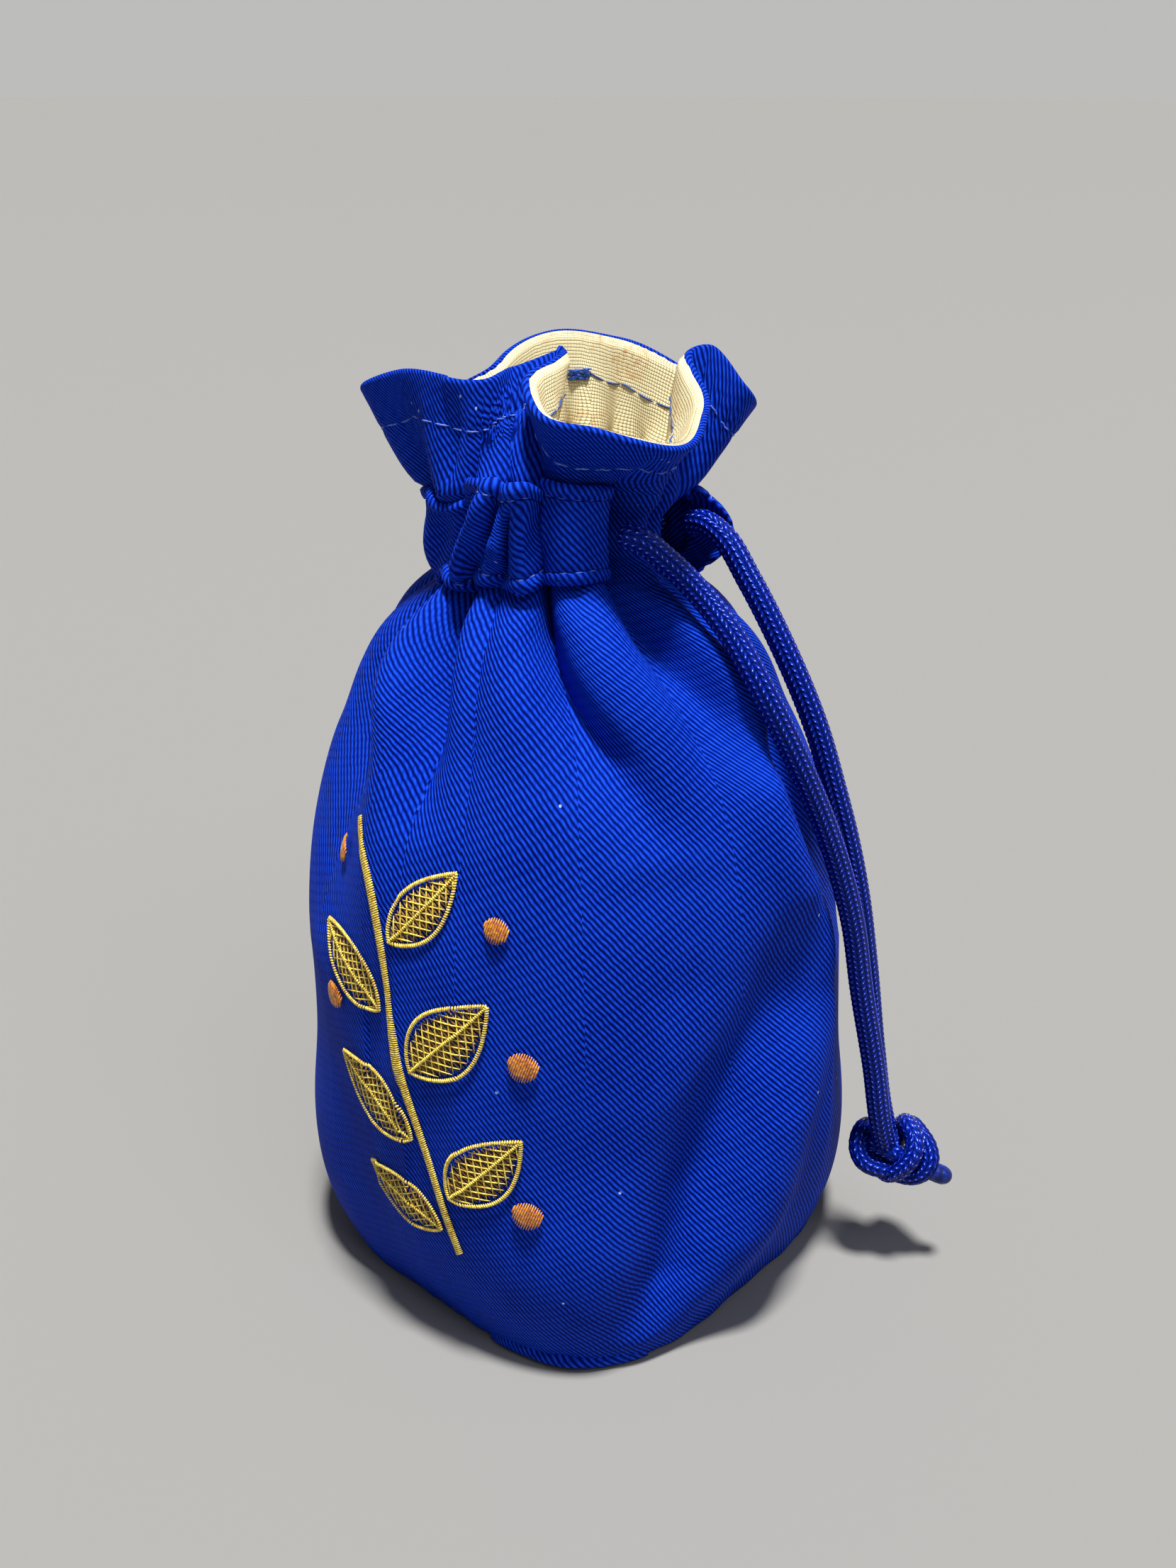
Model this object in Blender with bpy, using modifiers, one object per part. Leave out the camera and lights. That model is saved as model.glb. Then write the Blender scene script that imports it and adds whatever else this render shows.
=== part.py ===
"""A small lined drawstring dice bag, standing on its flat base with its cord drawn half tight.

The wall of the bag is one cloth tube. It is wide at the belly, pleated where the cord draws it in,
and opens above the cord into a ruffled collar. All cloth pieces are worked out from that one
surface, wall_point(): the twill wall lies just outside it and the linen lining just inside it.

Lengths are metres and angles are degrees. +Z is up, the embroidered front faces -Y, and an angle
round the bag is counted from the front towards +X.
"""

import bpy
import numpy as np

# Cloth
TWILL = 0.0006
LINEN = 0.0005
SEAM_GAP = 0.0003
FOOT_GAP = 0.0008

# Wall of the bag: mean radius at each height, all before pleats and creases
BASE_RADIUS = 0.0395
FOOT_RADIUS = 0.0433
BELLY_RADIUS = 0.0452
SHOULDER_RADIUS = 0.0355
YOKE_RADIUS = 0.0232
SEAM_RADIUS = 0.0158
FOOT_HEIGHT = 0.010
BELLY_HEIGHT = 0.042
SHOULDER_HEIGHT = 0.099
YOKE_HEIGHT = 0.1195
CORNER_SWELL = 0.0028
CORNER_ANGLE = 41.0
CORNER_FADE_HEIGHT = 0.045

# Neck: a casing strip sewn on along two seams, with the cord drawn up inside it
CASING_SEAM_HEIGHT = 0.1250
CASING_WIDTH = 0.0142
CASING_FRONT_PHASE = 18.375
CASING_REAR_PHASE = 6.0
CASING_RIPPLE = 0.0022
CASING_END_FLARE = 0.0062
CASING_END_EASE = 0.6
CASING_FLATNESS = 0.6
CASING_GAP = 0.0005
CASING_VALLEY_LIFT = 0.0012
UPPER_SEAM_RADIUS = 0.0168
PLEAT_DEPTH = 0.0023
PLEAT_HEIGHTS = (0.0, 0.078, 0.090, SHOULDER_HEIGHT, 0.110, YOKE_HEIGHT, CASING_SEAM_HEIGHT)
PLEAT_SHARES = (0.0, 0.0, 0.17, 0.43, 0.83, 1.13, 1.0)
PLEAT_SHARPNESS = 0.9
CORD_PLEAT_DEPTH = 0.0013
GAP_PINCH = 0.35
NECK_DROP = 0.0048
NECK_DROP_ANGLE = 38.0
NECK_DROP_START = 0.075
BELLY_OFFSET = (-0.0008, -0.0006)
NECK_OFFSET = (-0.0027, -0.0021)

# Cord
CORD_DIAMETER = 0.0040
CORD_RING_RADIUS = 0.0155
CORD_CLEARANCE = 0.0003
CORD_BAND = CORD_DIAMETER * 0.65
CORD_RING_STEP = 18.0
CORD_REAR_LEAD = 14.0
CORD_POINT_STEP = 0.0045

# Collar: how far out it leans on the way up at each pleat phase, below 1 early and above 1 late
COLLAR_BOWS = ((1.0, 1.1), (3.4, 0.95), (5.2, 1.1), (6.0, 0.85), (8.0, 1.05), (12.2, 0.85),
               (13.2, 0.62), (14.1, 0.68))
COLLAR_PLEAT_FADE = 2.2

# Folds of the casing strip at the front: phase at its lower edge, phase at its upper edge, half
# width in phase, rise
CASING_FOLDS = ((14.55, 14.6, 0.30, 0.0022), (15.25, 16.35, 0.28, 0.0034), (16.05, 16.95, 0.22, 0.0028),
                (17.02, 17.1, 0.22, 0.0030), (17.95, 17.95, 0.50, 0.0016))
CASING_FOLDS_START = 14.0
CASING_FOLDS_EASE = 0.5

# Pleats, one row each: angle at the neck, angle at the shoulder, fullness
PLEATS = (
    (-21.0, -7.0, 1.2),
    (5.0, 8.0, 0.75),
    (23.0, 25.0, 0.6),
    (46.0, 58.0, 0.7),
    (85.0, 92.0, 1.1),
    (104.0, 116.0, 0.9),
    (126.0, 138.0, 1.0),
    (148.0, 159.0, 1.0),
    (170.0, 178.0, 1.0),
    (192.0, 197.0, 1.0),
    (214.0, 216.0, 1.0),
    (236.0, 236.0, 1.0),
    (258.0, 257.0, 1.0),
    (280.0, 279.0, 1.0),
    (306.0, 311.0, 1.1),
)
PLEAT_COLUMNS = (6, 5, 7, 8, 6, 6, 5, 5, 4, 4, 4, 4, 4, 5, 6)

# Creases and swells of the stiff twill below the neck: height, angle, half width, rise
CREASES = {
    "left_recess": ((0.066, -24, 13, 0.0), (0.082, -27, 13, -0.0030), (0.099, -31, 13, -0.0044),
                    (0.111, -37, 13, -0.0042), (0.124, -44, 11, -0.0012)),
    "left_ridge": ((0.066, -4, 10, 0.0), (0.082, -6, 9, 0.0014), (0.099, -8, 8, 0.0024),
                   (0.111, -14, 8, 0.0024), (0.122, -21, 7, 0.0006)),
    "narrow_slit": ((0.096, -2, 5, 0.0), (0.108, -3, 5, -0.0022), (0.118, -6, 5, -0.0030),
                    (0.1245, -8, 5, -0.0008)),
    "slit": ((0.092, 58, 9, 0.0), (0.102, 50, 8, -0.0022), (0.110, 40, 7, -0.0042),
             (0.117, 34, 6, -0.0046), (0.1242, 31, 6, -0.0010)),
    "right_valley": ((0.098, 88, 9, 0.0), (0.108, 84, 8, -0.0024), (0.117, 74, 9, -0.0042),
                     (0.1240, 68, 8, -0.0012)),
    "panel_edge": ((0.056, 106, 9, 0.0), (0.070, 98, 9, 0.0022), (0.084, 90, 8, 0.0034),
                   (0.098, 87, 8, 0.0038), (0.111, 92, 8, 0.0034), (0.120, 90, 8, 0.0012)),
    "edge_recess": ((0.056, 122, 10, 0.0), (0.070, 114, 9, -0.0026), (0.084, 106, 8, -0.0044),
                    (0.098, 102, 8, -0.0046), (0.110, 106, 8, -0.0036), (0.121, 104, 9, -0.0012)),
    "front_hollow": ((0.050, 70, 20, 0.0), (0.068, 64, 18, -0.0026), (0.084, 60, 16, -0.0026),
                     (0.100, 56, 14, 0.0)),
    "low_valley": ((0.005, 50, 8, 0.0), (0.016, 56, 8, -0.0036), (0.034, 63, 9, -0.0046),
                   (0.050, 72, 10, -0.0040), (0.062, 84, 11, -0.0022), (0.076, 96, 12, 0.0)),
    "low_ridge": ((0.006, 70, 9, 0.0), (0.020, 76, 9, 0.0018), (0.040, 84, 10, 0.0022),
                  (0.058, 98, 10, 0.0)),
    "left_low_valley": ((0.006, -14, 10, 0.0), (0.022, -18, 12, -0.0016), (0.044, -24, 12, -0.0014),
                        (0.062, -30, 12, 0.0)),
}

# Rim of the collar in plan, from the middle of the neck: pleat phase, x, y, height
RIM = (
    (0.2, -0.0041, -0.0159, 0.1516),
    (1.4, -0.0006, -0.0098, 0.1530),
    (2.5, 0.0039, -0.0058, 0.1540),
    (2.7, 0.0055, -0.0134, 0.1525),
    (2.85, 0.0105, -0.0172, 0.1495),
    (3.15, 0.0186, -0.0147, 0.1475),
    (3.6, 0.0274, -0.0091, 0.1450),
    (4.3, 0.0256, 0.0010, 0.1480),
    (4.7, 0.0221, 0.0058, 0.1500),
    (5.0, 0.0178, 0.0094, 0.1520),
    (5.25, 0.0144, 0.0128, 0.1540),
    (5.5, 0.0160, 0.0160, 0.1546),
    (6.0, 0.0229, 0.0179, 0.1470),
    (7.1, 0.0127, 0.0277, 0.1450),
    (7.8, 0.0048, 0.0215, 0.1510),
    (9.0, -0.0060, 0.0207, 0.1536),
    (11.2, -0.0171, 0.0095, 0.1520),
    (11.7, -0.0173, 0.0043, 0.1495),
    (12.5, -0.0269, 0.0019, 0.1450),
    (13.4, -0.0238, -0.0085, 0.1465),
    (14.0, -0.0249, -0.0169, 0.1490),
    (14.5, -0.0163, -0.0165, 0.1520),
)

# The grid of each cloth piece
ROW_HEIGHTS = (0.008, 0.026, 0.048, 0.068, 0.086, 0.100, 0.111, YOKE_HEIGHT)
COLLAR_SHARES = (0.3, 0.65, 1.0)
CASING_SHARES = (0.0, 0.2, 0.5, 0.8, 1.0)

# Free strands of the cord, from the mouth of the casing down to the knot
FRONT_STRAND = (
    (0.0143, -0.0095, 0.1312),
    (0.0172, -0.0081, 0.1305),
    (0.0198, -0.0059, 0.1279),
    (0.0241, -0.0028, 0.1227),
    (0.0294, -0.0019, 0.1172),
    (0.0341, -0.0017, 0.1110),
    (0.0393, 0.0024, 0.0981),
    (0.0416, 0.0061, 0.0889),
    (0.0437, 0.0096, 0.0787),
    (0.0454, 0.0122, 0.0686),
    (0.0469, 0.0143, 0.0555),
    (0.0491, 0.0165, 0.0409),
    (0.0510, 0.0184, 0.0268),
)
REAR_STRAND = (
    (0.0124, 0.0107, 0.1287),
    (0.0165, 0.0101, 0.1292),
    (0.0197, 0.0096, 0.1280),
    (0.0252, 0.0091, 0.1221),
    (0.0306, 0.0094, 0.1141),
    (0.0374, 0.0112, 0.0997),
    (0.0400, 0.0127, 0.0906),
    (0.0421, 0.0146, 0.0812),
    (0.0438, 0.0164, 0.0711),
    (0.0453, 0.0183, 0.0582),
    (0.0470, 0.0205, 0.0409),
    (0.0490, 0.0221, 0.0271),
)

# Knot: a lump of three twisted wraps, longer than it is high, and its short melted tail
KNOT_CENTRE = (0.0527, 0.0221, 0.0214)
KNOT_LENGTH = 0.0164
KNOT_HEIGHT = 0.0104
KNOT_WIDTH = 0.0104
KNOT_TURN = 38.0
KNOT_TILT = 14.0
KNOT_WRAPS = 3
KNOT_GROOVE = 0.10
TAIL_RADIUS = 0.0018
TAIL_LENGTH = 0.0052
TAIL_PLACE = (0.0036, 0.0, 0.0056)

# Embroidery: a leafy sprig with berries, each shape one raised patch of thread on the twill
THREAD_RAISE = 0.0004
THREAD_GAP = 0.00045
STEM_WIDTH = 0.0016
STEM = ((14.0, 0.022), (9.0, 0.036), (3.0, 0.052), (0.0, 0.068), (-4.0, 0.082), (-10.0, 0.092))
LEAVES = {
    "leaf_1": ((11.0, 0.031), (28.0, 0.046), 0.0048),
    "leaf_2": ((7.0, 0.040), (-16.0, 0.050), 0.0050),
    "leaf_3": ((3.0, 0.052), (22.0, 0.068), 0.0052),
    "leaf_4": ((0.5, 0.061), (-22.0, 0.071), 0.0046),
    "leaf_5": ((-1.0, 0.073), (15.0, 0.087), 0.0040),
    "leaf_6": ((13.0, 0.025), (-10.0, 0.031), 0.0042),
}
BERRIES = {
    "berry_1": (29.0, 0.059, 0.0024),
    "berry_2": (-17.0, 0.060, 0.0022),
    "berry_3": (24.0, 0.080, 0.0020),
    "berry_4": (-20.0, 0.083, 0.0022),
    "berry_5": (29.0, 0.033, 0.0024),
}
RIBBON_COLUMNS = 4
STEM_STEPS = 16
LEAF_STEPS = 8
LEAF_FOOT = 0.12
LEAF_SHOULDER = 0.85
LEAF_END_WIDTH = 0.1
BERRY_STEPS = 6
BERRY_END = 0.95


def smooth(stations, values, at):
    """Values at new places on one smooth curve through the values at rising stations."""
    stations = np.asarray(stations, float)
    values = np.asarray(values, float)
    at = np.asarray(at, float)
    shape = (-1,) + (1,) * (values.ndim - 1)
    steps = np.diff(stations).reshape(shape)
    slopes = np.diff(values, axis=0) / steps
    inner = (slopes[:-1] * steps[1:] + slopes[1:] * steps[:-1]) / (steps[1:] + steps[:-1])
    tangents = np.concatenate([slopes[:1], inner, slopes[-1:]])
    low = np.clip(np.searchsorted(stations, at, side="right") - 1, 0, len(stations) - 2)
    width = stations[low + 1] - stations[low]
    share = np.clip((at - stations[low]) / width, 0.0, 1.0)
    if values.ndim > 1:
        width = width[..., None]
        share = share[..., None]
    rise = share * share * (3.0 - 2.0 * share)
    start = share * (1.0 - share) ** 2 * width * tangents[low]
    end = share * share * (share - 1.0) * width * tangents[low + 1]
    return values[low] * (1.0 - rise) + values[low + 1] * rise + start + end


def smooth_round(stations, values, at, period, gain=0.0):
    """Values on a closed curve, where each whole period adds gain."""
    stations = np.asarray(stations, float)
    values = np.asarray(values, float)
    at = np.asarray(at, float)
    turns = np.floor((at - stations[0]) / period)
    wide = np.concatenate([stations - period, stations, stations + period])
    high = np.concatenate([values - gain, values, values + gain])
    found = smooth(wide, high, at - turns * period)
    return found + (turns if values.ndim == 1 else turns[..., None]) * gain


def ease(value, low, high):
    """0 below low, 1 above high, and a smooth rise between."""
    share = np.clip((value - low) / (high - low), 0.0, 1.0)
    return share * share * (3.0 - 2.0 * share)


def upper_seam_height():
    return CASING_SEAM_HEIGHT + CASING_WIDTH


def cord_height():
    return CASING_SEAM_HEIGHT + CASING_WIDTH / 2


def pinched_radius():
    """Largest radius of the wall's surface where the cord draws it in."""
    return CORD_RING_RADIUS - CORD_DIAMETER / 2 - CORD_CLEARANCE - SEAM_GAP / 2 - TWILL


def pleat_angle(phase, height):
    """Angle round the bag of a pleat phase: whole numbers are ridges and halves are valleys."""
    count = len(PLEATS)
    neck = smooth_round(range(count), [row[0] for row in PLEATS], phase, count, 360.0)
    body = smooth_round(range(count), [row[1] for row in PLEATS], phase, count, 360.0)
    drawn = ease(height, SHOULDER_HEIGHT, CASING_SEAM_HEIGHT)
    return neck * drawn + body * (1.0 - drawn)


def pleat_wave(phase):
    """1 on the round ridges, -1 in the sharp valleys, scaled by each pleat's fullness."""
    fullness = smooth_round(range(len(PLEATS)), [row[2] for row in PLEATS], phase, len(PLEATS))
    return fullness * (2.0 * np.abs(np.cos(np.pi * phase)) ** PLEAT_SHARPNESS - 1.0)


def open_side(phase):
    """1 between the two ends of the casing, where the bare wall shows, and 0 inside the casing."""
    gap_end = CASING_FRONT_PHASE - len(PLEATS)
    place = np.mod(phase, len(PLEATS))
    opening = ease(place, gap_end, gap_end + CASING_END_EASE)
    return opening * (1.0 - ease(place, CASING_REAR_PHASE - CASING_END_EASE, CASING_REAR_PHASE))


def mean_radius(phase, height):
    """Radius of the wall before pleats: belly, shoulder, and the waist that the cord pulls in."""
    waist = pinched_radius() - CORD_PLEAT_DEPTH * max(row[2] for row in PLEATS)
    seams = (SEAM_RADIUS + UPPER_SEAM_RADIUS) / 2
    waist = waist + (seams - waist) * (1.0 - GAP_PINCH) * open_side(phase)
    heights = (0.0, FOOT_HEIGHT, BELLY_HEIGHT, SHOULDER_HEIGHT, YOKE_HEIGHT, CASING_SEAM_HEIGHT)
    radii = (BASE_RADIUS, FOOT_RADIUS, BELLY_RADIUS, SHOULDER_RADIUS, YOKE_RADIUS, SEAM_RADIUS)
    body = smooth(heights, radii, height)
    rise = ease(height, CASING_SEAM_HEIGHT, cord_height() - CORD_BAND)
    fall = ease(height, cord_height() + CORD_BAND, upper_seam_height())
    neck = SEAM_RADIUS + (waist - SEAM_RADIUS) * rise + (UPPER_SEAM_RADIUS - waist) * fall
    return np.where(height < CASING_SEAM_HEIGHT, body, neck)


def pleat_depth(phase, height):
    """Half the depth of the pleats at a height."""
    body = smooth(PLEAT_HEIGHTS, np.array(PLEAT_SHARES) * PLEAT_DEPTH, height)
    away = np.abs(height - cord_height())
    pinch = 1.0 - ease(away, CORD_BAND, CASING_WIDTH / 2)
    pinch = pinch * (1.0 - (1.0 - GAP_PINCH) * open_side(phase))
    neck = PLEAT_DEPTH + (CORD_PLEAT_DEPTH - PLEAT_DEPTH) * pinch
    return np.where(height < CASING_SEAM_HEIGHT, body, neck)


def crease_rise(angle, height):
    """Sum of the named creases at a place on the wall."""
    total = np.zeros(np.broadcast(angle, height).shape)
    for stations in CREASES.values():
        rows = sorted(stations)
        heights = [row[0] for row in rows]
        middle = smooth(heights, [row[1] for row in rows], height)
        half_width = smooth(heights, [row[2] for row in rows], height)
        rise = np.interp(height, heights, [row[3] for row in rows])
        away = (angle - middle + 180.0) % 360.0 - 180.0
        total = total + rise * np.exp(-((away / half_width) ** 2))
    return total * (1.0 - ease(height, CASING_SEAM_HEIGHT, cord_height() - CORD_BAND))


def neck_drop(angle, height):
    """How far the drawn neck sags at the two sides of the bag."""
    side = (1.0 - np.cos(np.radians(2.0 * (angle - NECK_DROP_ANGLE)))) / 2
    return NECK_DROP * side * ease(height, NECK_DROP_START, YOKE_HEIGHT)


def centre_line(height):
    """Middle of the bag in plan: it sways a little to one side and leans over at the neck."""
    heights = (0.0, BELLY_HEIGHT, SHOULDER_HEIGHT, CASING_SEAM_HEIGHT, upper_seam_height() + 0.02)
    shoulder = np.mean([BELLY_OFFSET, NECK_OFFSET], axis=0)
    places = ((0.0, 0.0), BELLY_OFFSET, tuple(shoulder), NECK_OFFSET, NECK_OFFSET)
    return smooth(heights, places, height)


def around(angle, radius, height):
    """A point at an angle and radius from the bag's middle line, with the neck's sag."""
    centre = centre_line(height)
    turn = np.radians(angle)
    x = centre[..., 0] + radius * np.sin(turn)
    y = centre[..., 1] - radius * np.cos(turn)
    return np.stack([x, y, height - neck_drop(angle, height)], axis=-1)


def wall_point(phase, height):
    """The wall's surface from the base seam up to the upper seam of the casing."""
    phase, height = np.broadcast_arrays(np.asarray(phase, float), np.asarray(height, float))
    angle = pleat_angle(phase, height)
    corner = CORNER_SWELL * (1.0 - ease(height, 0.0, CORNER_FADE_HEIGHT))
    radius = mean_radius(phase, height) + pleat_depth(phase, height) * pleat_wave(phase)
    radius = radius + corner * np.cos(np.radians(4.0 * (angle - CORNER_ANGLE)))
    radius = radius + crease_rise(angle, height)
    return around(angle, radius, height)


def rim_point(phase):
    rows = np.array(RIM)
    points = smooth_round(rows[:, 0], rows[:, 1:], phase, len(PLEATS))
    points[..., :2] += NECK_OFFSET
    return points


def collar_point(phase, share):
    """The collar's surface: share 0 is the upper seam and share 1 the rim."""
    seam = wall_point(phase, upper_seam_height())
    angle = pleat_angle(phase, upper_seam_height())
    level = around(angle, UPPER_SEAM_RADIUS + 0 * angle, upper_seam_height() + 0 * angle)
    bows = np.array(COLLAR_BOWS)
    sideways = share ** smooth_round(bows[:, 0], bows[:, 1], phase, len(PLEATS))
    reach = (rim_point(phase) - level) * np.stack([sideways, sideways, share + 0 * sideways], axis=-1)
    return level + reach + (seam - level) * (1.0 - share) ** COLLAR_PLEAT_FADE


def phase_columns():
    """Phases of the grid's columns, closer together where the cloth shows most."""
    columns = []
    for pleat, count in enumerate(PLEAT_COLUMNS):
        columns.extend(pleat + step / count for step in range(count))
    return np.array(columns)


def row_heights(foot_height):
    """Heights of the grid's rows from a foot height up to the upper seam."""
    band = (cord_height() - CORD_BAND, cord_height() + CORD_BAND)
    return (foot_height,) + ROW_HEIGHTS + (CASING_SEAM_HEIGHT,) + band + (upper_seam_height(),)


def cloth_grid(foot_height):
    """Rows of points from a foot height up to the rim."""
    phases = phase_columns()
    rows = [wall_point(phases, height) for height in row_heights(foot_height)]
    rows += [collar_point(phases, share) for share in COLLAR_SHARES]
    return np.array(rows)


def grid_normals(rows):
    """Outward direction at each point of a grid that closes on itself along its rows."""
    along = np.roll(rows, -1, axis=1) - np.roll(rows, 1, axis=1)
    up = np.gradient(rows, axis=0)
    normals = np.cross(along, up)
    return normals / np.linalg.norm(normals, axis=-1, keepdims=True)


def material(name, colour, roughness):
    made = bpy.data.materials.new(name)
    made.use_nodes = True
    shader = made.node_tree.nodes["Principled BSDF"]
    shader.inputs["Base Color"].default_value = (*colour, 1.0)
    shader.inputs["Roughness"].default_value = roughness
    shader.inputs["Metallic"].default_value = 0.0
    return made


def clear_scene():
    for thing in list(bpy.data.objects):
        bpy.data.objects.remove(thing, do_unlink=True)


def new_collection(name):
    made = bpy.data.collections.new(name)
    bpy.context.scene.collection.children.link(made)
    return made


def grid_object(name, rows, closed, collection, finish):
    """One open sheet through rows of points."""
    row_count, column_count = rows.shape[:2]
    last = column_count if closed else column_count - 1
    faces = []
    for row in range(row_count - 1):
        for column in range(last):
            beside = (column + 1) % column_count
            low = row * column_count
            high = low + column_count
            faces.append((low + column, low + beside, high + beside, high + column))
    mesh = bpy.data.meshes.new(name)
    mesh.from_pydata(rows.reshape(-1, 3).tolist(), [], faces)
    mesh.shade_smooth()
    mesh.materials.append(finish)
    made = bpy.data.objects.new(name, mesh)
    collection.objects.link(made)
    return made


def thicken(sheet, near, far):
    """Gives a sheet a wall from near to far along its outward side."""
    wall = sheet.modifiers.new("Cloth thickness", "SOLIDIFY")
    wall.thickness = abs(far - near)
    wall.offset = (near + far) / abs(far - near)
    wall.use_rim = True


def disc_object(name, outline, low, thickness, collection, finish):
    """A flat round piece of cloth with the given outline."""
    shape = bpy.data.curves.new(name, "CURVE")
    shape.dimensions = "2D"
    shape.fill_mode = "BOTH"
    shape.extrude = thickness / 2
    spline = shape.splines.new("POLY")
    spline.points.add(len(outline) - 1)
    for point, place in zip(spline.points, outline):
        point.co = (place[0], place[1], 0.0, 1.0)
    spline.use_cyclic_u = True
    made = bpy.data.objects.new(name, shape)
    made.location.z = low + thickness / 2
    shape.materials.append(finish)
    collection.objects.link(made)
    return made


def tube_object(name, route, diameter, collection, finish):
    shape = bpy.data.curves.new(name, "CURVE")
    shape.dimensions = "3D"
    shape.bevel_depth = diameter / 2
    shape.bevel_resolution = 2
    shape.use_fill_caps = True
    spline = shape.splines.new("POLY")
    spline.points.add(len(route) - 1)
    for point, place in zip(spline.points, route):
        point.co = (*place, 1.0)
    shape.materials.append(finish)
    made = bpy.data.objects.new(name, shape)
    collection.objects.link(made)
    return made


def make_bags(collection, twill, linen):
    """The outer bag and the lining bag, each a wall and a round bottom."""
    outer_foot = TWILL + FOOT_GAP
    lining_floor = TWILL + SEAM_GAP
    lining_foot = lining_floor + LINEN + SEAM_GAP
    outer = grid_object("outer_side_panel", cloth_grid(outer_foot), True, collection, twill)
    thicken(outer, SEAM_GAP / 2, SEAM_GAP / 2 + TWILL)
    lining = grid_object("lining_side_panel", cloth_grid(lining_foot), True, collection, linen)
    thicken(lining, -SEAM_GAP / 2, -SEAM_GAP / 2 - LINEN)
    foot = cloth_grid(outer_foot)
    outline = foot[0] + grid_normals(foot)[0] * (SEAM_GAP / 2 + TWILL)
    disc_object("outer_base", outline, 0.0, TWILL, collection, twill)
    foot = cloth_grid(lining_foot)
    outline = foot[0] - grid_normals(foot)[0] * (SEAM_GAP * 1.5)
    disc_object("lining_base", outline, lining_floor, LINEN, collection, linen)


def casing_fold(phases, share):
    """Rise of the strip's folds: even ripples at the back, and slanting folds of their own in front."""
    front = ease(phases, CASING_FOLDS_START, CASING_FOLDS_START + CASING_FOLDS_EASE)
    rise = CASING_RIPPLE * (1.0 - front) * (pleat_wave(phases) + 1.0) / 2
    for low, high, half_width, height in CASING_FOLDS:
        away = (phases - low * (1.0 - share) - high * share) / half_width
        rise = rise + front * height * np.exp(-(away**2))
    return rise


def make_casing(collection, twill):
    """The strip round the neck, sewn at both edges and bridging over the cord between them."""
    columns = phase_columns()
    count = len(PLEATS)
    wide = np.concatenate([columns, columns + count])
    lift = SEAM_GAP / 2 + TWILL + CASING_GAP
    wall = cloth_grid(TWILL + FOOT_GAP)
    lifted = wall + grid_normals(wall) * lift
    outward = np.radians(pleat_angle(columns, cord_height()))
    bridged = CASING_VALLEY_LIFT * (1.0 - pleat_wave(columns)) / 2
    lifted = lifted + bridged[:, None] * np.stack([np.sin(outward), -np.cos(outward), 0 * outward], axis=-1)
    low_row = len(ROW_HEIGHTS) + 1
    low_edge = np.concatenate([lifted[low_row], lifted[low_row]])
    high_edge = np.concatenate([lifted[low_row + 3], lifted[low_row + 3]])
    chosen = (wide >= CASING_REAR_PHASE - 1e-6) & (wide <= CASING_FRONT_PHASE + 1e-6)
    phases, low_edge, high_edge = wide[chosen], low_edge[chosen], high_edge[chosen]
    flare = CASING_END_FLARE * (1.0 - ease(phases, CASING_REAR_PHASE, CASING_REAR_PHASE + 2 * CASING_END_EASE))
    rows = []
    for share in CASING_SHARES:
        radius = CORD_RING_RADIUS + CORD_DIAMETER / 2 + CORD_CLEARANCE + flare + casing_fold(phases, share)
        bridge = around(pleat_angle(phases, cord_height()), radius, cord_height() + 0 * phases)
        edge = low_edge * (1.0 - share) + high_edge * share
        over = np.sin(np.pi * share) ** CASING_FLATNESS
        place = edge + (bridge - edge) * over
        place[:, 2] = edge[:, 2]
        rows.append(place)
    strip = grid_object("casing_strip", np.array(rows), False, collection, twill)
    thicken(strip, 0.0, TWILL)


def cord_ring():
    """The stretch of cord inside the casing, from its front mouth round the back to its rear one."""
    first = float(pleat_angle(CASING_FRONT_PHASE - len(PLEATS), cord_height()))
    last = float(pleat_angle(CASING_REAR_PHASE, cord_height())) + CORD_REAR_LEAD
    steps = int(round((first + 360.0 - last) / CORD_RING_STEP))
    angles = first - np.linspace(0.0, first + 360.0 - last, steps + 1)
    return around(angles, CORD_RING_RADIUS + 0 * angles, cord_height() + 0 * angles)


def cord_route():
    """Points of the whole cord, evenly spaced on one smooth curve from end to end."""
    marks = np.concatenate([np.array(FRONT_STRAND)[::-1], cord_ring(), np.array(REAR_STRAND)])
    run = np.concatenate([[0.0], np.cumsum(np.linalg.norm(np.diff(marks, axis=0), axis=1))])
    places = np.linspace(0.0, run[-1], int(round(run[-1] / CORD_POINT_STEP)) + 1)
    return smooth(run, marks, places)


def make_cord(collection, finish):
    tube_object("drawcord", cord_route().tolist(), CORD_DIAMETER, collection, finish)


def move_to(collection, thing):
    """Takes an object that an operator has added out of the scene's own collection into this one."""
    for old in list(thing.users_collection):
        old.objects.unlink(thing)
    collection.objects.link(thing)


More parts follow.
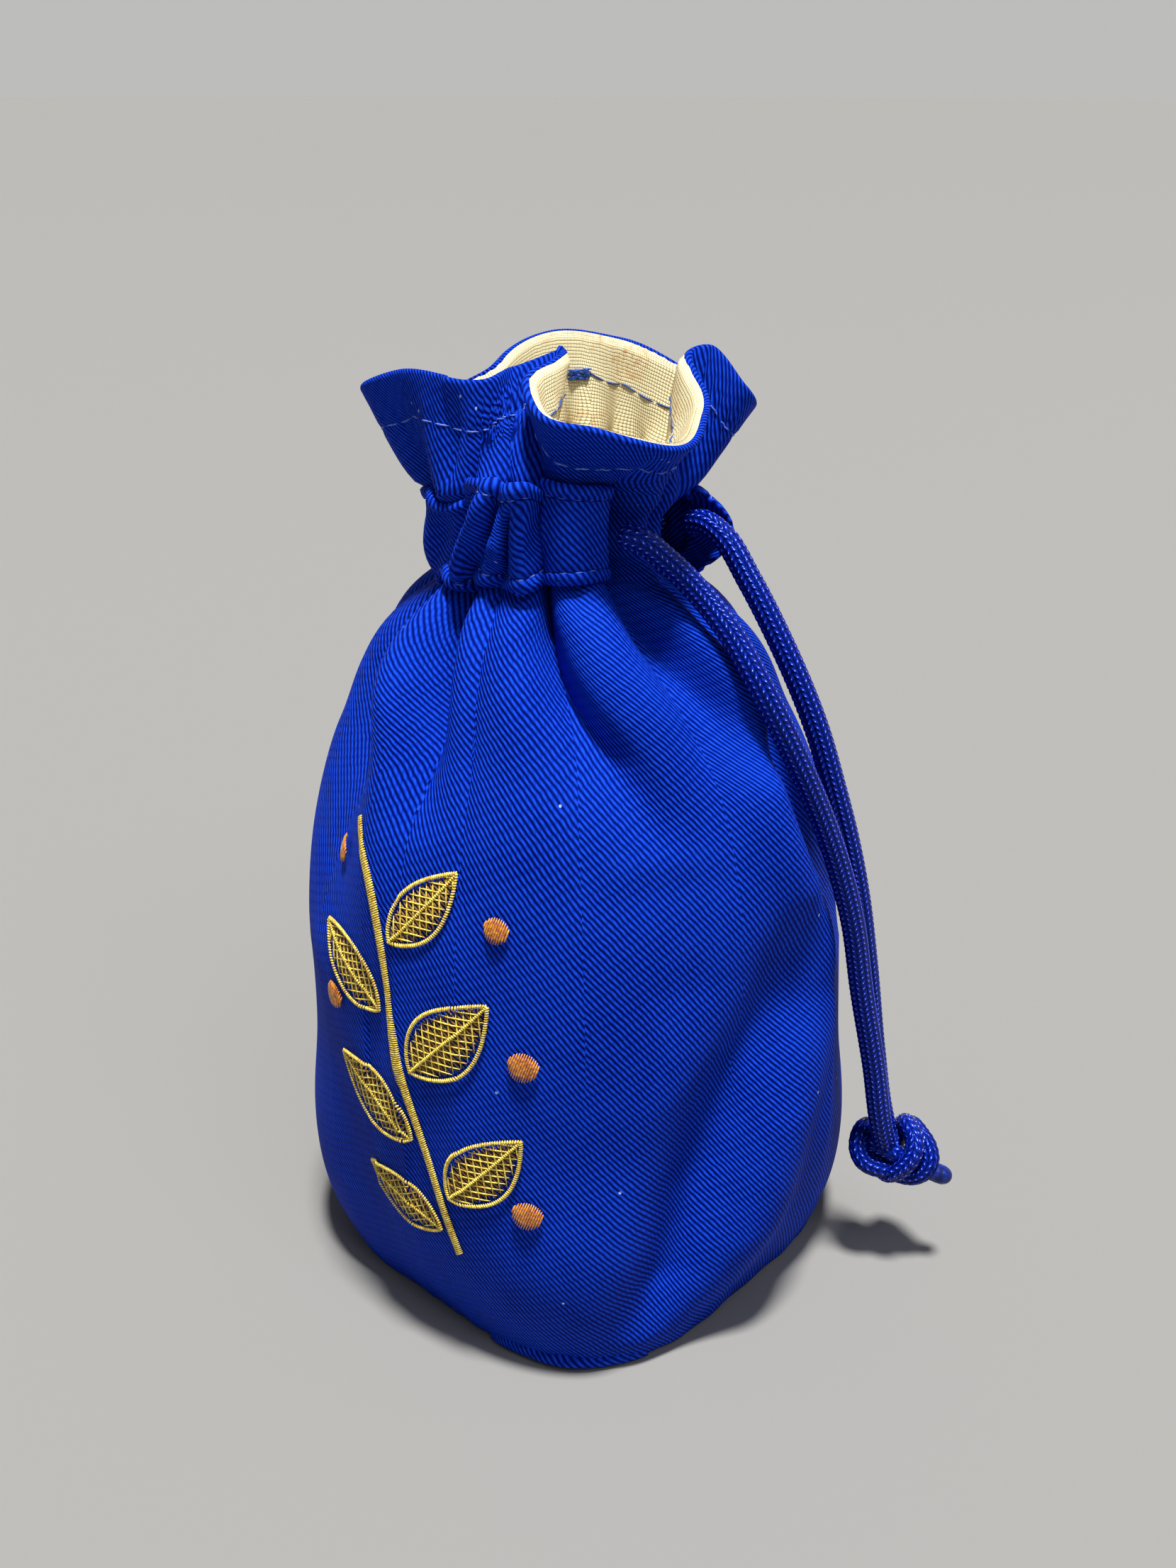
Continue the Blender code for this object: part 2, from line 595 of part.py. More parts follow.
def make_knot(collection, finish):
    """The knot: a ball with its wraps' grooves, joined to the melted tail of the cord."""
    bpy.ops.mesh.primitive_cylinder_add(vertices=12, radius=TAIL_RADIUS, depth=TAIL_LENGTH, location=TAIL_PLACE,
                                        rotation=(0.0, np.radians(90.0), 0.0))
    tail = bpy.context.object
    tail.name = "tail_join"
    tail.hide_render = True
    tail.display_type = "WIRE"
    move_to(collection, tail)
    bpy.ops.mesh.primitive_uv_sphere_add(segments=18, ring_count=10, radius=1.0)
    knot = bpy.context.object
    knot.name = "drawcord_knot"
    for vertex in knot.data.vertices:
        x, y, z = vertex.co
        wrap = np.arctan2(y, x) * KNOT_WRAPS + z * np.pi
        swell = 1.0 - KNOT_GROOVE * (0.5 - 0.5 * np.cos(wrap)) * (1.0 - z * z)
        vertex.co = (x * swell * KNOT_HEIGHT / 2, y * swell * KNOT_WIDTH / 2, z * KNOT_LENGTH / 2)
    move_to(collection, knot)
    knot.data.materials.append(finish)
    knot.data.shade_smooth()
    join = knot.modifiers.new("Tail", "BOOLEAN")
    join.operation = "UNION"
    join.solver = "EXACT"
    join.object = tail
    tail.parent = knot
    knot.rotation_euler = (0.0, np.radians(90.0 + KNOT_TILT), np.radians(KNOT_TURN))
    knot.location = KNOT_CENTRE


def cloth_place(angle, height):
    """Place and outward direction on the wall's surface, by the angle round the bag and the height."""
    wall = cloth_grid(TWILL + FOOT_GAP)
    heights = row_heights(TWILL + FOOT_GAP)
    count = wall.shape[1]
    angles = pleat_angle(np.append(phase_columns(), len(PLEATS)), 0.0)
    wrapped = np.mod(np.asarray(angle, float) - angles[0], 360.0) + angles[0]
    column = np.interp(wrapped, angles, np.arange(count + 1))
    row = np.interp(height, heights, np.arange(len(heights)))
    left = np.floor(column).astype(int)
    below = np.clip(np.floor(row).astype(int), 0, len(heights) - 2)
    across, up = (column - left)[..., None], (row - below)[..., None]

    def between(grid):
        low = grid[below, left % count] * (1.0 - across) + grid[below, (left + 1) % count] * across
        high = grid[below + 1, left % count] * (1.0 - across) + grid[below + 1, (left + 1) % count] * across
        return low * (1.0 - up) + high * up

    return between(wall), between(grid_normals(wall))


def patch_object(name, angles, heights, collection, finish):
    """A raised patch of thread through a grid of places on the wall."""
    places, outward = cloth_place(angles, heights)
    lift = SEAM_GAP / 2 + TWILL + THREAD_GAP
    patch = grid_object(name, places + outward * lift, False, collection, finish)
    thicken(patch, 0.0, THREAD_RAISE)


def flat_to_wall(points):
    """Angle and height of points given as metres round and metres up the front of the bag."""
    return np.degrees(points[..., 0] / BELLY_RADIUS), points[..., 1]


def ribbon(line, half_widths):
    """A grid of points along a line on the flat cloth, across its width."""
    line = np.array(line)
    ahead = np.gradient(line, axis=0)
    ahead /= np.linalg.norm(ahead, axis=1, keepdims=True)
    side = np.stack([ahead[:, 1], -ahead[:, 0]], axis=1)
    across = np.linspace(1.0, -1.0, RIBBON_COLUMNS)
    return line[None] + across[:, None, None] * side[None] * np.asarray(half_widths)[None, :, None]


def make_embroidery(collection, gold, orange):
    """The sprig: a stem, lattice leaves on both sides of it and round berries."""
    to_flat = np.array([np.radians(BELLY_RADIUS), 1.0])
    steps = np.linspace(0, len(STEM) - 1, STEM_STEPS)
    stem = smooth(range(len(STEM)), np.array(STEM) * to_flat, steps)
    angles, heights = flat_to_wall(ribbon(stem, np.full(STEM_STEPS, STEM_WIDTH / 2)))
    patch_object("embroidery_stem", angles, heights, collection, gold)
    for name, (root, tip, half_width) in LEAVES.items():
        share = np.linspace(0.0, 1.0, LEAF_STEPS)
        root, tip = np.array(root) * to_flat, np.array(tip) * to_flat
        line = root + (tip - root) * (LEAF_FOOT + (1.0 - LEAF_FOOT) * share[:, None])
        widths = half_width * (np.sin(np.pi * share**LEAF_SHOULDER) * (1.0 - LEAF_END_WIDTH) + LEAF_END_WIDTH)
        angles, heights = flat_to_wall(ribbon(line, widths))
        patch_object("embroidery_" + name, angles, heights, collection, gold)
    for name, (angle, height, radius) in BERRIES.items():
        centre = np.array([angle, height]) * to_flat
        share = np.linspace(-1.0, 1.0, BERRY_STEPS)
        line = centre + np.array([0.0, radius]) * share[:, None]
        widths = radius * np.sqrt(1.0 - (share * BERRY_END) ** 2)
        angles, heights = flat_to_wall(ribbon(line, widths))
        patch_object("embroidery_" + name, angles, heights, collection, orange)


def main():
    clear_scene()
    bag = new_collection("dice_bag")
    twill = material("blue_twill", (0.005, 0.020, 0.330), 0.8)
    linen = material("cream_linen", (0.80, 0.72, 0.52), 0.85)
    cord = material("blue_cord", (0.008, 0.040, 0.360), 0.45)
    gold = material("gold_thread", (0.75, 0.48, 0.06), 0.45)
    orange = material("orange_thread", (0.70, 0.30, 0.02), 0.45)
    make_bags(bag, twill, linen)
    make_casing(bag, twill)
    make_cord(bag, cord)
    make_knot(bag, cord)
    make_embroidery(bag, gold, orange)


main()
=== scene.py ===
"""The looks of a small lined drawstring dice bag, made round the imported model.

The file follows the bag as it is sewn: the twill bag, the lining, the stitches at the rim, the casing
strip, the drawcord and its knot, and the embroidery. The studio comes last. Lengths are metres,
angles are degrees, +Z is up, the embroidered front faces -Y, and an angle round the bag is counted
from the front towards +X.
"""

import bpy
import numpy as np
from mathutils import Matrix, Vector


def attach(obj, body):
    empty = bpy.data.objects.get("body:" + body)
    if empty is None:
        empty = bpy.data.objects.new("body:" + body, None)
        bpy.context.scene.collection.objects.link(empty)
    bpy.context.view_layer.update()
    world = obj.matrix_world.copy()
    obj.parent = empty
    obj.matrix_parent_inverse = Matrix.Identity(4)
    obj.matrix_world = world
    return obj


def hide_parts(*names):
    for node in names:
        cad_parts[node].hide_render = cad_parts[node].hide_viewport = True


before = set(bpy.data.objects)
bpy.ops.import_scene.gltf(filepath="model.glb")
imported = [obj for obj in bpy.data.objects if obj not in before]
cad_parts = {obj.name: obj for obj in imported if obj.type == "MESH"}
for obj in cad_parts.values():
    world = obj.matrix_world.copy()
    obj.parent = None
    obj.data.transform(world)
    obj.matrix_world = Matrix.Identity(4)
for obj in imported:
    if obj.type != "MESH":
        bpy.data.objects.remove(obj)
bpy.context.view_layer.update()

# Outer bag: a rectangle of cobalt twill sewn into a tube, with a flat bottom. The drawn cord gathers it
# at the neck into uneven pleats, and above the cord it opens into a ruffled collar whose edge is turned
# over at the rim. The other cloth pieces lie on this wall, so its surface is worked out here for all.

TWILL = 0.0006
SEAM_GAP = 0.0003
FOOT_HEIGHT = 0.0014
SEAM_HEIGHT = 0.1250
CASING_WIDTH = 0.0142
UPPER_HEIGHT = SEAM_HEIGHT + CASING_WIDTH
CORD_HEIGHT = SEAM_HEIGHT + CASING_WIDTH / 2
CORD_DIAMETER = 0.0040
CORD_RING_RADIUS = 0.0155
CORD_BAND = CORD_DIAMETER * 0.65
CASING_FRONT_PHASE = 18.375
CASING_REAR_PHASE = 6.0

BELLY_HEIGHT = 0.042
BELLY_RADIUS = 0.0452
SHOULDER_HEIGHT = 0.099
YOKE_HEIGHT = 0.1195
WALL_HEIGHTS = (0.0, 0.010, BELLY_HEIGHT, SHOULDER_HEIGHT, YOKE_HEIGHT, SEAM_HEIGHT)
WALL_RADII = (0.0395, 0.0433, BELLY_RADIUS, 0.0355, 0.0232, 0.0158)
UPPER_SEAM_RADIUS = 0.0168
WAIST_RADIUS = 0.01104
CORNER_SWELL = 0.0028
CORNER_ANGLE = 41.0
CORNER_FADE_HEIGHT = 0.045
NECK_DROP = 0.0048
NECK_DROP_ANGLE = 38.0
NECK_DROP_START = 0.075
BELLY_OFFSET = (-0.0008, -0.0006)
SHOULDER_OFFSET = (-0.00175, -0.00135)
NECK_OFFSET = (-0.0027, -0.0021)

# Pleats, one row each: angle at the neck, angle at the shoulder, fullness
PLEATS = np.array((
    (-21.0, -7.0, 1.2), (5.0, 8.0, 0.75), (23.0, 25.0, 0.6), (46.0, 58.0, 0.7), (85.0, 92.0, 1.1),
    (104.0, 116.0, 0.9), (126.0, 138.0, 1.0), (148.0, 159.0, 1.0), (170.0, 178.0, 1.0),
    (192.0, 197.0, 1.0), (214.0, 216.0, 1.0), (236.0, 236.0, 1.0), (258.0, 257.0, 1.0),
    (280.0, 279.0, 1.0), (306.0, 311.0, 1.1),
))
PLEAT_COUNT = len(PLEATS)
PLEAT_HEIGHTS = (0.0, 0.078, 0.090, SHOULDER_HEIGHT, 0.110, YOKE_HEIGHT, SEAM_HEIGHT)
PLEAT_DEPTHS = (0.0, 0.0, 0.0004, 0.0010, 0.0019, 0.0026, 0.0023)
CORD_PLEAT_DEPTH = 0.0013
GAP_PINCH = 0.35
GAP_EASE = 0.6
# Bows of the collar on its way out to the rim: pleat phase, and power of the height, above 1 where it
# goes out late
COLLAR_BOWS = ((1.0, 1.1), (3.4, 0.95), (5.2, 1.05), (6.0, 0.65), (7.0, 0.75), (8.0, 1.05), (12.2, 0.80),
               (13.2, 0.52), (14.1, 0.52))
PLEAT_FADE = 2.2
# Folds of the collar's lobes: pleat phase, half width in phase, rise, share of the height where it is
# deepest
COLLAR_CREASES = ((14.25, 0.24, -0.0026, 0.30), (14.75, 0.16, 0.0008, 0.35), (15.06, 0.13, -0.0014, 0.35),
                  (15.9, 0.30, -0.0012, 0.30))

# Creases of the stiff twill below the neck: height, angle, half width, rise
CREASES = {
    "left_recess": ((0.066, -24, 13, 0.0), (0.082, -27, 13, -0.0030), (0.099, -31, 13, -0.0044),
                    (0.111, -37, 13, -0.0042), (0.124, -44, 11, -0.0012)),
    "left_ridge": ((0.066, -4, 10, 0.0), (0.082, -6, 9, 0.0014), (0.099, -8, 8, 0.0024),
                   (0.111, -14, 8, 0.0024), (0.122, -21, 7, 0.0006)),
    "narrow_slit": ((0.090, 4, 7, 0.0), (0.103, 2, 7, -0.0042), (0.116, -2, 7, -0.0074),
                    (0.1245, -6, 6, -0.0026)),
    "slit": ((0.088, 60, 9, 0.0), (0.101, 50, 8, -0.0042), (0.110, 40, 7, -0.0076),
             (0.117, 34, 7, -0.0086), (0.1242, 31, 6, -0.0026)),
    "right_valley": ((0.096, 88, 9, 0.0), (0.107, 84, 8, -0.0038), (0.117, 74, 9, -0.0062),
                     (0.1240, 68, 8, -0.0020)),
    "panel_edge": ((0.056, 106, 9, 0.0), (0.070, 98, 9, 0.0022), (0.084, 90, 8, 0.0034),
                   (0.098, 87, 8, 0.0038), (0.111, 92, 8, 0.0034), (0.120, 90, 8, 0.0012)),
    "edge_recess": ((0.056, 122, 10, 0.0), (0.070, 114, 9, -0.0026), (0.084, 106, 8, -0.0044),
                    (0.098, 102, 8, -0.0046), (0.110, 106, 8, -0.0036), (0.121, 104, 9, -0.0012)),
    "front_hollow": ((0.050, 70, 20, 0.0), (0.068, 64, 18, -0.0026), (0.084, 60, 16, -0.0026),
                     (0.100, 56, 14, 0.0)),
    "low_valley": ((0.005, 50, 9, 0.0), (0.016, 56, 9, -0.0050), (0.034, 64, 10, -0.0066),
                   (0.050, 73, 11, -0.0058), (0.062, 84, 12, -0.0034), (0.078, 96, 13, 0.0)),
    "low_ridge": ((0.006, 72, 9, 0.0), (0.020, 79, 9, 0.0026), (0.040, 88, 10, 0.0030),
                  (0.058, 100, 10, 0.0)),
    "left_low_valley": ((0.006, -14, 10, 0.0), (0.022, -18, 12, -0.0016), (0.044, -24, 12, -0.0014),
                        (0.062, -30, 12, 0.0)),
}

# Rim of the collar in plan, from the middle of the neck: pleat phase, x, y, height
RIM = np.array((
    (0.2, -0.0041, -0.0159, 0.1516), (1.4, -0.0006, -0.0098, 0.1530), (2.5, 0.0039, -0.0058, 0.1540),
    (2.7, 0.0055, -0.0134, 0.1525), (2.85, 0.0105, -0.0172, 0.1495), (3.15, 0.0186, -0.0147, 0.1475),
    (3.6, 0.0274, -0.0091, 0.1450), (4.3, 0.0256, 0.0010, 0.1480), (4.7, 0.0221, 0.0058, 0.1500),
    (5.0, 0.0178, 0.0094, 0.1520), (5.25, 0.0144, 0.0128, 0.1540), (5.5, 0.0160, 0.0160, 0.1546),
    (6.0, 0.0216, 0.0174, 0.1492), (7.1, 0.0127, 0.0277, 0.1450), (7.8, 0.0048, 0.0215, 0.1510),
    (9.0, -0.0060, 0.0207, 0.1536), (11.2, -0.0171, 0.0095, 0.1520), (11.7, -0.0173, 0.0043, 0.1495),
    (12.5, -0.0269, 0.0019, 0.1450), (13.3, -0.0243, -0.0085, 0.1465), (13.75, -0.0256, -0.0130, 0.1474),
    (14.05, -0.0236, -0.0166, 0.1494), (14.5, -0.0163, -0.0165, 0.1520),
))

# Small folds of the cloth: how high they rise and how far they reach
GATHER_RISE = 0.00045
GATHER_REACH = 0.008
PUCKER_RISE = 0.00016
PUCKER_REACH = 0.0035
UNEVEN_RISE = 0.00032
UNEVEN_START = (0.010, 0.035)
STITCH_DISTANCE = 0.0068
GROOVE_DEPTH = 0.00022
GROOVE_REACH = 0.0007
RIPPLE_DISTANCE = 0.0065
RIPPLE_RISE = 0.00014
RIPPLE_REACH = 0.003

# Rows of the foot turned under the wall: reach inwards, and drop below the wall's first row
FOOT_ROWS = ((0.0014, 0.0012), (0.0004, 0.0008))
FOOT_STEP = 0.0009
ROLL_ROWS = 7
ROLL_RADIUS = 0.0006
ROLL_TURN = 200.0
ROLL_STEP = 0.0003
COLLAR_HEIGHT = 0.015
COLLAR_LOOSE_START = 0.15

SEEN_COLUMNS = 26
BACK_COLUMNS = 14
BACK_PLEATS = (7, 8, 9, 10, 11, 12)
BODY_ROWS = 104
NECK_ROWS = 12
COLLAR_ROWS = 14
BELLY_ROW = 32
SHOULDER_ROW = 64


def smooth(stations, values, at):
    """Values at new places on one smooth curve through the values at rising stations."""
    stations = np.asarray(stations, float)
    values = np.asarray(values, float)
    at = np.asarray(at, float)
    steps = np.diff(stations).reshape((-1,) + (1,) * (values.ndim - 1))
    slopes = np.diff(values, axis=0) / steps
    inner = (slopes[:-1] * steps[1:] + slopes[1:] * steps[:-1]) / (steps[1:] + steps[:-1])
    tangents = np.concatenate([slopes[:1], inner, slopes[-1:]])
    low = np.clip(np.searchsorted(stations, at, side="right") - 1, 0, len(stations) - 2)
    width = stations[low + 1] - stations[low]
    share = np.clip((at - stations[low]) / width, 0.0, 1.0)
    if values.ndim > 1:
        width = width[..., None]
        share = share[..., None]
    rise = share * share * (3.0 - 2.0 * share)
    start = share * (1.0 - share) ** 2 * width * tangents[low]
    end = share * share * (share - 1.0) * width * tangents[low + 1]
    return values[low] * (1.0 - rise) + values[low + 1] * rise + start + end


def smooth_round(stations, values, at, gain=0.0):
    """Values on a curve that closes after all the pleats, where each round adds gain."""
    stations = np.asarray(stations, float)
    values = np.asarray(values, float)
    turns = np.floor((np.asarray(at, float) - stations[0]) / PLEAT_COUNT)
    wide = np.concatenate([stations - PLEAT_COUNT, stations, stations + PLEAT_COUNT])
    high = np.concatenate([values - gain, values, values + gain])
    found = smooth(wide, high, at - turns * PLEAT_COUNT)
    return found + (turns if values.ndim == 1 else turns[..., None]) * gain


def ease(value, low, high):
    """0 below low, 1 above high, and a smooth rise between."""
    share = np.clip((value - low) / (high - low), 0.0, 1.0)
    return share * share * (3.0 - 2.0 * share)


def unit(vectors):
    """The same directions, one metre long."""
    return vectors / np.linalg.norm(vectors, axis=-1, keepdims=True)


def run_along(points):
    """Distance of each point from the first along a line, or its mean over lines side by side."""
    steps = np.linalg.norm(np.diff(points, axis=0), axis=-1)
    if steps.ndim > 1:
        steps = steps.mean(axis=1)
    return np.concatenate([[0.0], np.cumsum(steps)])


def pleat_angle(phase, height):
    """Angle round the bag of a pleat phase: whole numbers are ridges and halves are valleys."""
    ridges = np.arange(PLEAT_COUNT)
    neck = smooth_round(ridges, PLEATS[:, 0], phase, 360.0)
    body = smooth_round(ridges, PLEATS[:, 1], phase, 360.0)
    drawn = ease(height, SHOULDER_HEIGHT, SEAM_HEIGHT)
    return neck * drawn + body * (1.0 - drawn)


def pleat_wave(phase):
    """1 on the round ridges, -1 in the sharp valleys, scaled by each pleat's fullness."""
    fullness = smooth_round(np.arange(PLEAT_COUNT), PLEATS[:, 2], phase)
    return fullness * (2.0 * np.abs(np.cos(np.pi * phase)) ** 0.9 - 1.0)


def open_side(phase):
    """1 between the two ends of the casing, where the bare wall shows, and 0 inside the casing."""
    start = CASING_FRONT_PHASE - PLEAT_COUNT
    place = np.mod(phase, PLEAT_COUNT)
    end = CASING_REAR_PHASE
    return ease(place, start, start + GAP_EASE) * (1.0 - ease(place, end - GAP_EASE, end))


def mean_radius(phase, height):
    """Radius of the wall before pleats: belly, shoulder, and the waist that the cord pulls in."""
    gap = (WALL_RADII[-1] + UPPER_SEAM_RADIUS) / 2 - WAIST_RADIUS
    waist = WAIST_RADIUS + gap * (1.0 - GAP_PINCH) * open_side(phase)
    rise = ease(height, SEAM_HEIGHT, CORD_HEIGHT - CORD_BAND)
    fall = ease(height, CORD_HEIGHT + CORD_BAND, UPPER_HEIGHT)
    neck = WALL_RADII[-1] + (waist - WALL_RADII[-1]) * rise + (UPPER_SEAM_RADIUS - waist) * fall
    return np.where(height < SEAM_HEIGHT, smooth(WALL_HEIGHTS, WALL_RADII, height), neck)


def pleat_depth(phase, height):
    """Half the depth of the pleats at a height."""
    pinch = 1.0 - ease(np.abs(height - CORD_HEIGHT), CORD_BAND, CASING_WIDTH / 2)
    pinch = pinch * (1.0 - (1.0 - GAP_PINCH) * open_side(phase))
    neck = PLEAT_DEPTHS[-1] + (CORD_PLEAT_DEPTH - PLEAT_DEPTHS[-1]) * pinch
    return np.where(height < SEAM_HEIGHT, smooth(PLEAT_HEIGHTS, PLEAT_DEPTHS, height), neck)


def crease_rise(angle, height):
    """Sum of the named creases at a place on the wall."""
    total = np.zeros(np.broadcast(angle, height).shape)
    for stations in CREASES.values():
        heights, angles, half_widths, rises = np.array(stations).T
        middle = smooth(heights, angles, height)
        half_width = smooth(heights, half_widths, height)
        away = (angle - middle + 180.0) % 360.0 - 180.0
        total = total + np.interp(height, heights, rises) * np.exp(-((away / half_width) ** 2))
    return total * (1.0 - ease(height, SEAM_HEIGHT, CORD_HEIGHT - CORD_BAND))


def around(angle, radius, height):
    """A point at an angle and radius from the bag's middle line, with the neck's sag at its sides."""
    stations = (0.0, BELLY_HEIGHT, SHOULDER_HEIGHT, SEAM_HEIGHT, UPPER_HEIGHT + 0.02)
    places = ((0.0, 0.0), BELLY_OFFSET, SHOULDER_OFFSET, NECK_OFFSET, NECK_OFFSET)
    centre = smooth(stations, places, height)
    side = (1.0 - np.cos(np.radians(2.0 * (angle - NECK_DROP_ANGLE)))) / 2
    drop = NECK_DROP * side * ease(height, NECK_DROP_START, YOKE_HEIGHT)
    turn = np.radians(angle)
    x = centre[..., 0] + radius * np.sin(turn)
    y = centre[..., 1] - radius * np.cos(turn)
    return np.stack([x, y, height - drop], axis=-1)


def wall_point(phase, height):
    """The middle surface of the wall from the base seam up to the upper seam of the casing."""
    phase, height = np.broadcast_arrays(np.asarray(phase, float), np.asarray(height, float))
    angle = pleat_angle(phase, height)
    corner = CORNER_SWELL * (1.0 - ease(height, 0.0, CORNER_FADE_HEIGHT))
    radius = mean_radius(phase, height) + pleat_depth(phase, height) * pleat_wave(phase)
    radius = radius + corner * np.cos(np.radians(4.0 * (angle - CORNER_ANGLE)))
    return around(angle, radius + crease_rise(angle, height), height)


def collar_point(phase, share):
    """The collar's surface: share 0 is the upper seam and share 1 the rim."""
    phase, share = np.broadcast_arrays(np.asarray(phase, float), np.asarray(share, float))
    seam = wall_point(phase, UPPER_HEIGHT)
    angle = pleat_angle(phase, UPPER_HEIGHT)
    level = around(angle, UPPER_SEAM_RADIUS + 0 * angle, UPPER_HEIGHT + 0 * angle)
    rim = smooth_round(RIM[:, 0], RIM[:, 1:], phase) + np.array([*NECK_OFFSET, 0.0])
    bows = np.array(COLLAR_BOWS)
    sideways = share ** smooth_round(bows[:, 0], bows[:, 1], phase)
    bow = np.stack([sideways, sideways, share], axis=-1)
    fold = 0.0
    for place, half_width, rise, deepest in COLLAR_CREASES:
        away = (phase - place + PLEAT_COUNT / 2) % PLEAT_COUNT - PLEAT_COUNT / 2
        height = np.sin(np.pi * share ** (np.log(0.5) / np.log(deepest)))
        fold = fold + rise * np.exp(-((away / half_width) ** 2)) * height
    turn = np.radians(angle)
    folded = np.stack([np.sin(turn) * fold, -np.cos(turn) * fold, 0.0 * fold], axis=-1)
    pleats = (seam - level) * ((1.0 - share) ** PLEAT_FADE)[..., None]
    return level + (rim - level) * bow + pleats + folded


def grid_normals(rows):
    """Outward direction at each point of a grid that closes on itself along its rows."""
    along = np.roll(rows, -1, axis=1) - np.roll(rows, 1, axis=1)
    return unit(np.cross(along, np.gradient(rows, axis=0)))


def fine_folds(phase, height, rim_distance):
    """Small folds along the outward direction: gathers at the seams, puckers and uneven cloth."""
    gathers = np.sin(2 * np.pi * (2.0 * phase + 0.23 * np.sin(1.7 * phase))) * (height < SEAM_HEIGHT)
    gathers = GATHER_RISE * gathers * np.exp(-np.clip(SEAM_HEIGHT - height, 0.0, 1.0) / GATHER_REACH)
    puckers = np.sin(2 * np.pi * (2.6 * phase + 0.4 * np.sin(2.3 * phase)))
    puckers = PUCKER_RISE * puckers * np.exp(-height / PUCKER_REACH)
    uneven = 0.6 * np.sin(2.2 * phase + 95.0 * height) + 0.4 * np.sin(3.9 * phase - 150.0 * height + 1.0)
    uneven = UNEVEN_RISE * uneven * ease(height, *UNEVEN_START)
    groove = GROOVE_DEPTH * np.exp(-(((rim_distance - STITCH_DISTANCE) / GROOVE_REACH) ** 2))
    ripple = RIPPLE_RISE * np.sin(2 * np.pi * 7.0 * phase)
    ripple = ripple * np.exp(-(((rim_distance - RIPPLE_DISTANCE) / RIPPLE_REACH) ** 2))
    return gathers + puckers + uneven - groove + ripple


def wall_grid():
    """Phases of the columns, distance along the cloth and height of each row, and all the points."""
    phases = []
    for pleat in range(PLEAT_COUNT):
        count = BACK_COLUMNS if pleat in BACK_PLEATS else SEEN_COLUMNS
        phases.extend(pleat + step / count for step in range(count))
    phases = np.array(phases)
    heights = np.concatenate([
        np.linspace(FOOT_HEIGHT, SEAM_HEIGHT, BODY_ROWS, endpoint=False),
        np.linspace(SEAM_HEIGHT, UPPER_HEIGHT, NECK_ROWS, endpoint=False),
    ])
    shares = np.linspace(0.0, 1.0, COLLAR_ROWS)
    body = wall_point(phases[None, :], heights[:, None])
    collar = collar_point(phases[None, :], shares[:, None])
    rows = np.concatenate([body, collar])
    run = run_along(rows)
    reach = np.linalg.norm(collar[-1] - collar[0], axis=1)
    rim_distance = np.full(rows.shape[:2], 1.0)
    rim_distance[len(heights):] = reach[None, :] * (1.0 - shares[:, None])
    levels = np.concatenate([heights, UPPER_HEIGHT + shares * COLLAR_HEIGHT])[:, None]
    rows = rows + grid_normals(rows) * fine_folds(phases[None, :], levels, rim_distance)[..., None]
    return phases, run, rows


def cloth_places(rows, phases, closed, cloth_ends, loosen):
    """Distance round the cloth at the left and right side of each face, in metres.

    The weave keeps its true scale on each pleat, counted from the pleat's ridge, and the cloth that
    a pleat hides is left out in its valley. Where loosen is 1 the cloth runs on without a break.
    """
    beside = np.roll(rows, -1, axis=1) if closed else rows[:, 1:]
    steps = np.linalg.norm(beside - (rows if closed else rows[:, :-1]), axis=2)
    run = np.concatenate([np.zeros((len(rows), 1)), np.cumsum(steps, axis=1)], axis=1)
    ends = np.append(phases, phases[0] + PLEAT_COUNT) if closed else phases
    middle = (ends[:-1] + ends[1:]) / 2
    ridge = np.clip(np.round(middle), ends[0], ends[-1])
    at_ridge = np.array([np.interp(ridge, ends, line) for line in run])
    start = np.interp(ridge, ends, cloth_ends)
    weight = loosen[:, None]
    left = (start + run[:, :-1] - at_ridge) * (1 - weight) + cloth_ends[:-1] * weight
    right = (start + run[:, 1:] - at_ridge) * (1 - weight) + cloth_ends[1:] * weight
    return left, right


def add_object(name, data):
    """A new object in the scene with the given mesh, lamp or camera."""
    made = bpy.data.objects.new(name, data)
    bpy.context.collection.objects.link(made)
    return made


def cloth_object(name, rows, closed, left, right, run):
    """A sheet through rows of points, whose UV map is its place on the flat cloth in metres."""
    row_count, column_count = rows.shape[:2]
    last = column_count if closed else column_count - 1
    row, column = np.meshgrid(np.arange(row_count - 1), np.arange(last), indexing="ij")
    row, column = row.ravel(), column.ravel()
    low, beside = row * column_count, (column + 1) % column_count
    corners = (low + column, low + beside, low + column_count + beside, low + column_count + column)
    mesh = bpy.data.meshes.new(name)
    mesh.from_pydata(rows.reshape(-1, 3).tolist(), [], np.stack(corners, axis=1).tolist())
    above = row + 1
    across = (left[row, column], right[row, column], right[above, column], left[above, column])
    along = (run[row], run[row], run[above], run[above])
    flat = np.stack([np.stack(across, axis=1), np.stack(along, axis=1)], axis=-1).astype(np.float32)
    mesh.uv_layers.new(name="cloth").data.foreach_set("uv", flat.ravel())
    mesh.shade_smooth()
    return add_object(name, mesh)


def thicken(sheet, near, far):
    """Gives a sheet a wall from near to far along its outward side."""
    wall = sheet.modifiers.new("Cloth thickness", "SOLIDIFY")
    wall.thickness = abs(far - near)
    wall.offset = (near + far) / abs(far - near)
    wall.use_rim = True


def finish_piece(piece, material, node):
    """Gives a piece its material and body, and puts it in place of a CAD node."""
    piece.data.materials.append(material)
    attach(piece, "root")
    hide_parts(node)


def linear(colour):
    """The linear colour of an sRGB hex value such as "#1c44c0"."""
    parts = [int(colour[place:place + 2], 16) / 255 for place in (1, 3, 5)]
    return tuple(p / 12.92 if p <= 0.04045 else ((p + 0.055) / 1.055) ** 2.4 for p in parts) + (1.0,)


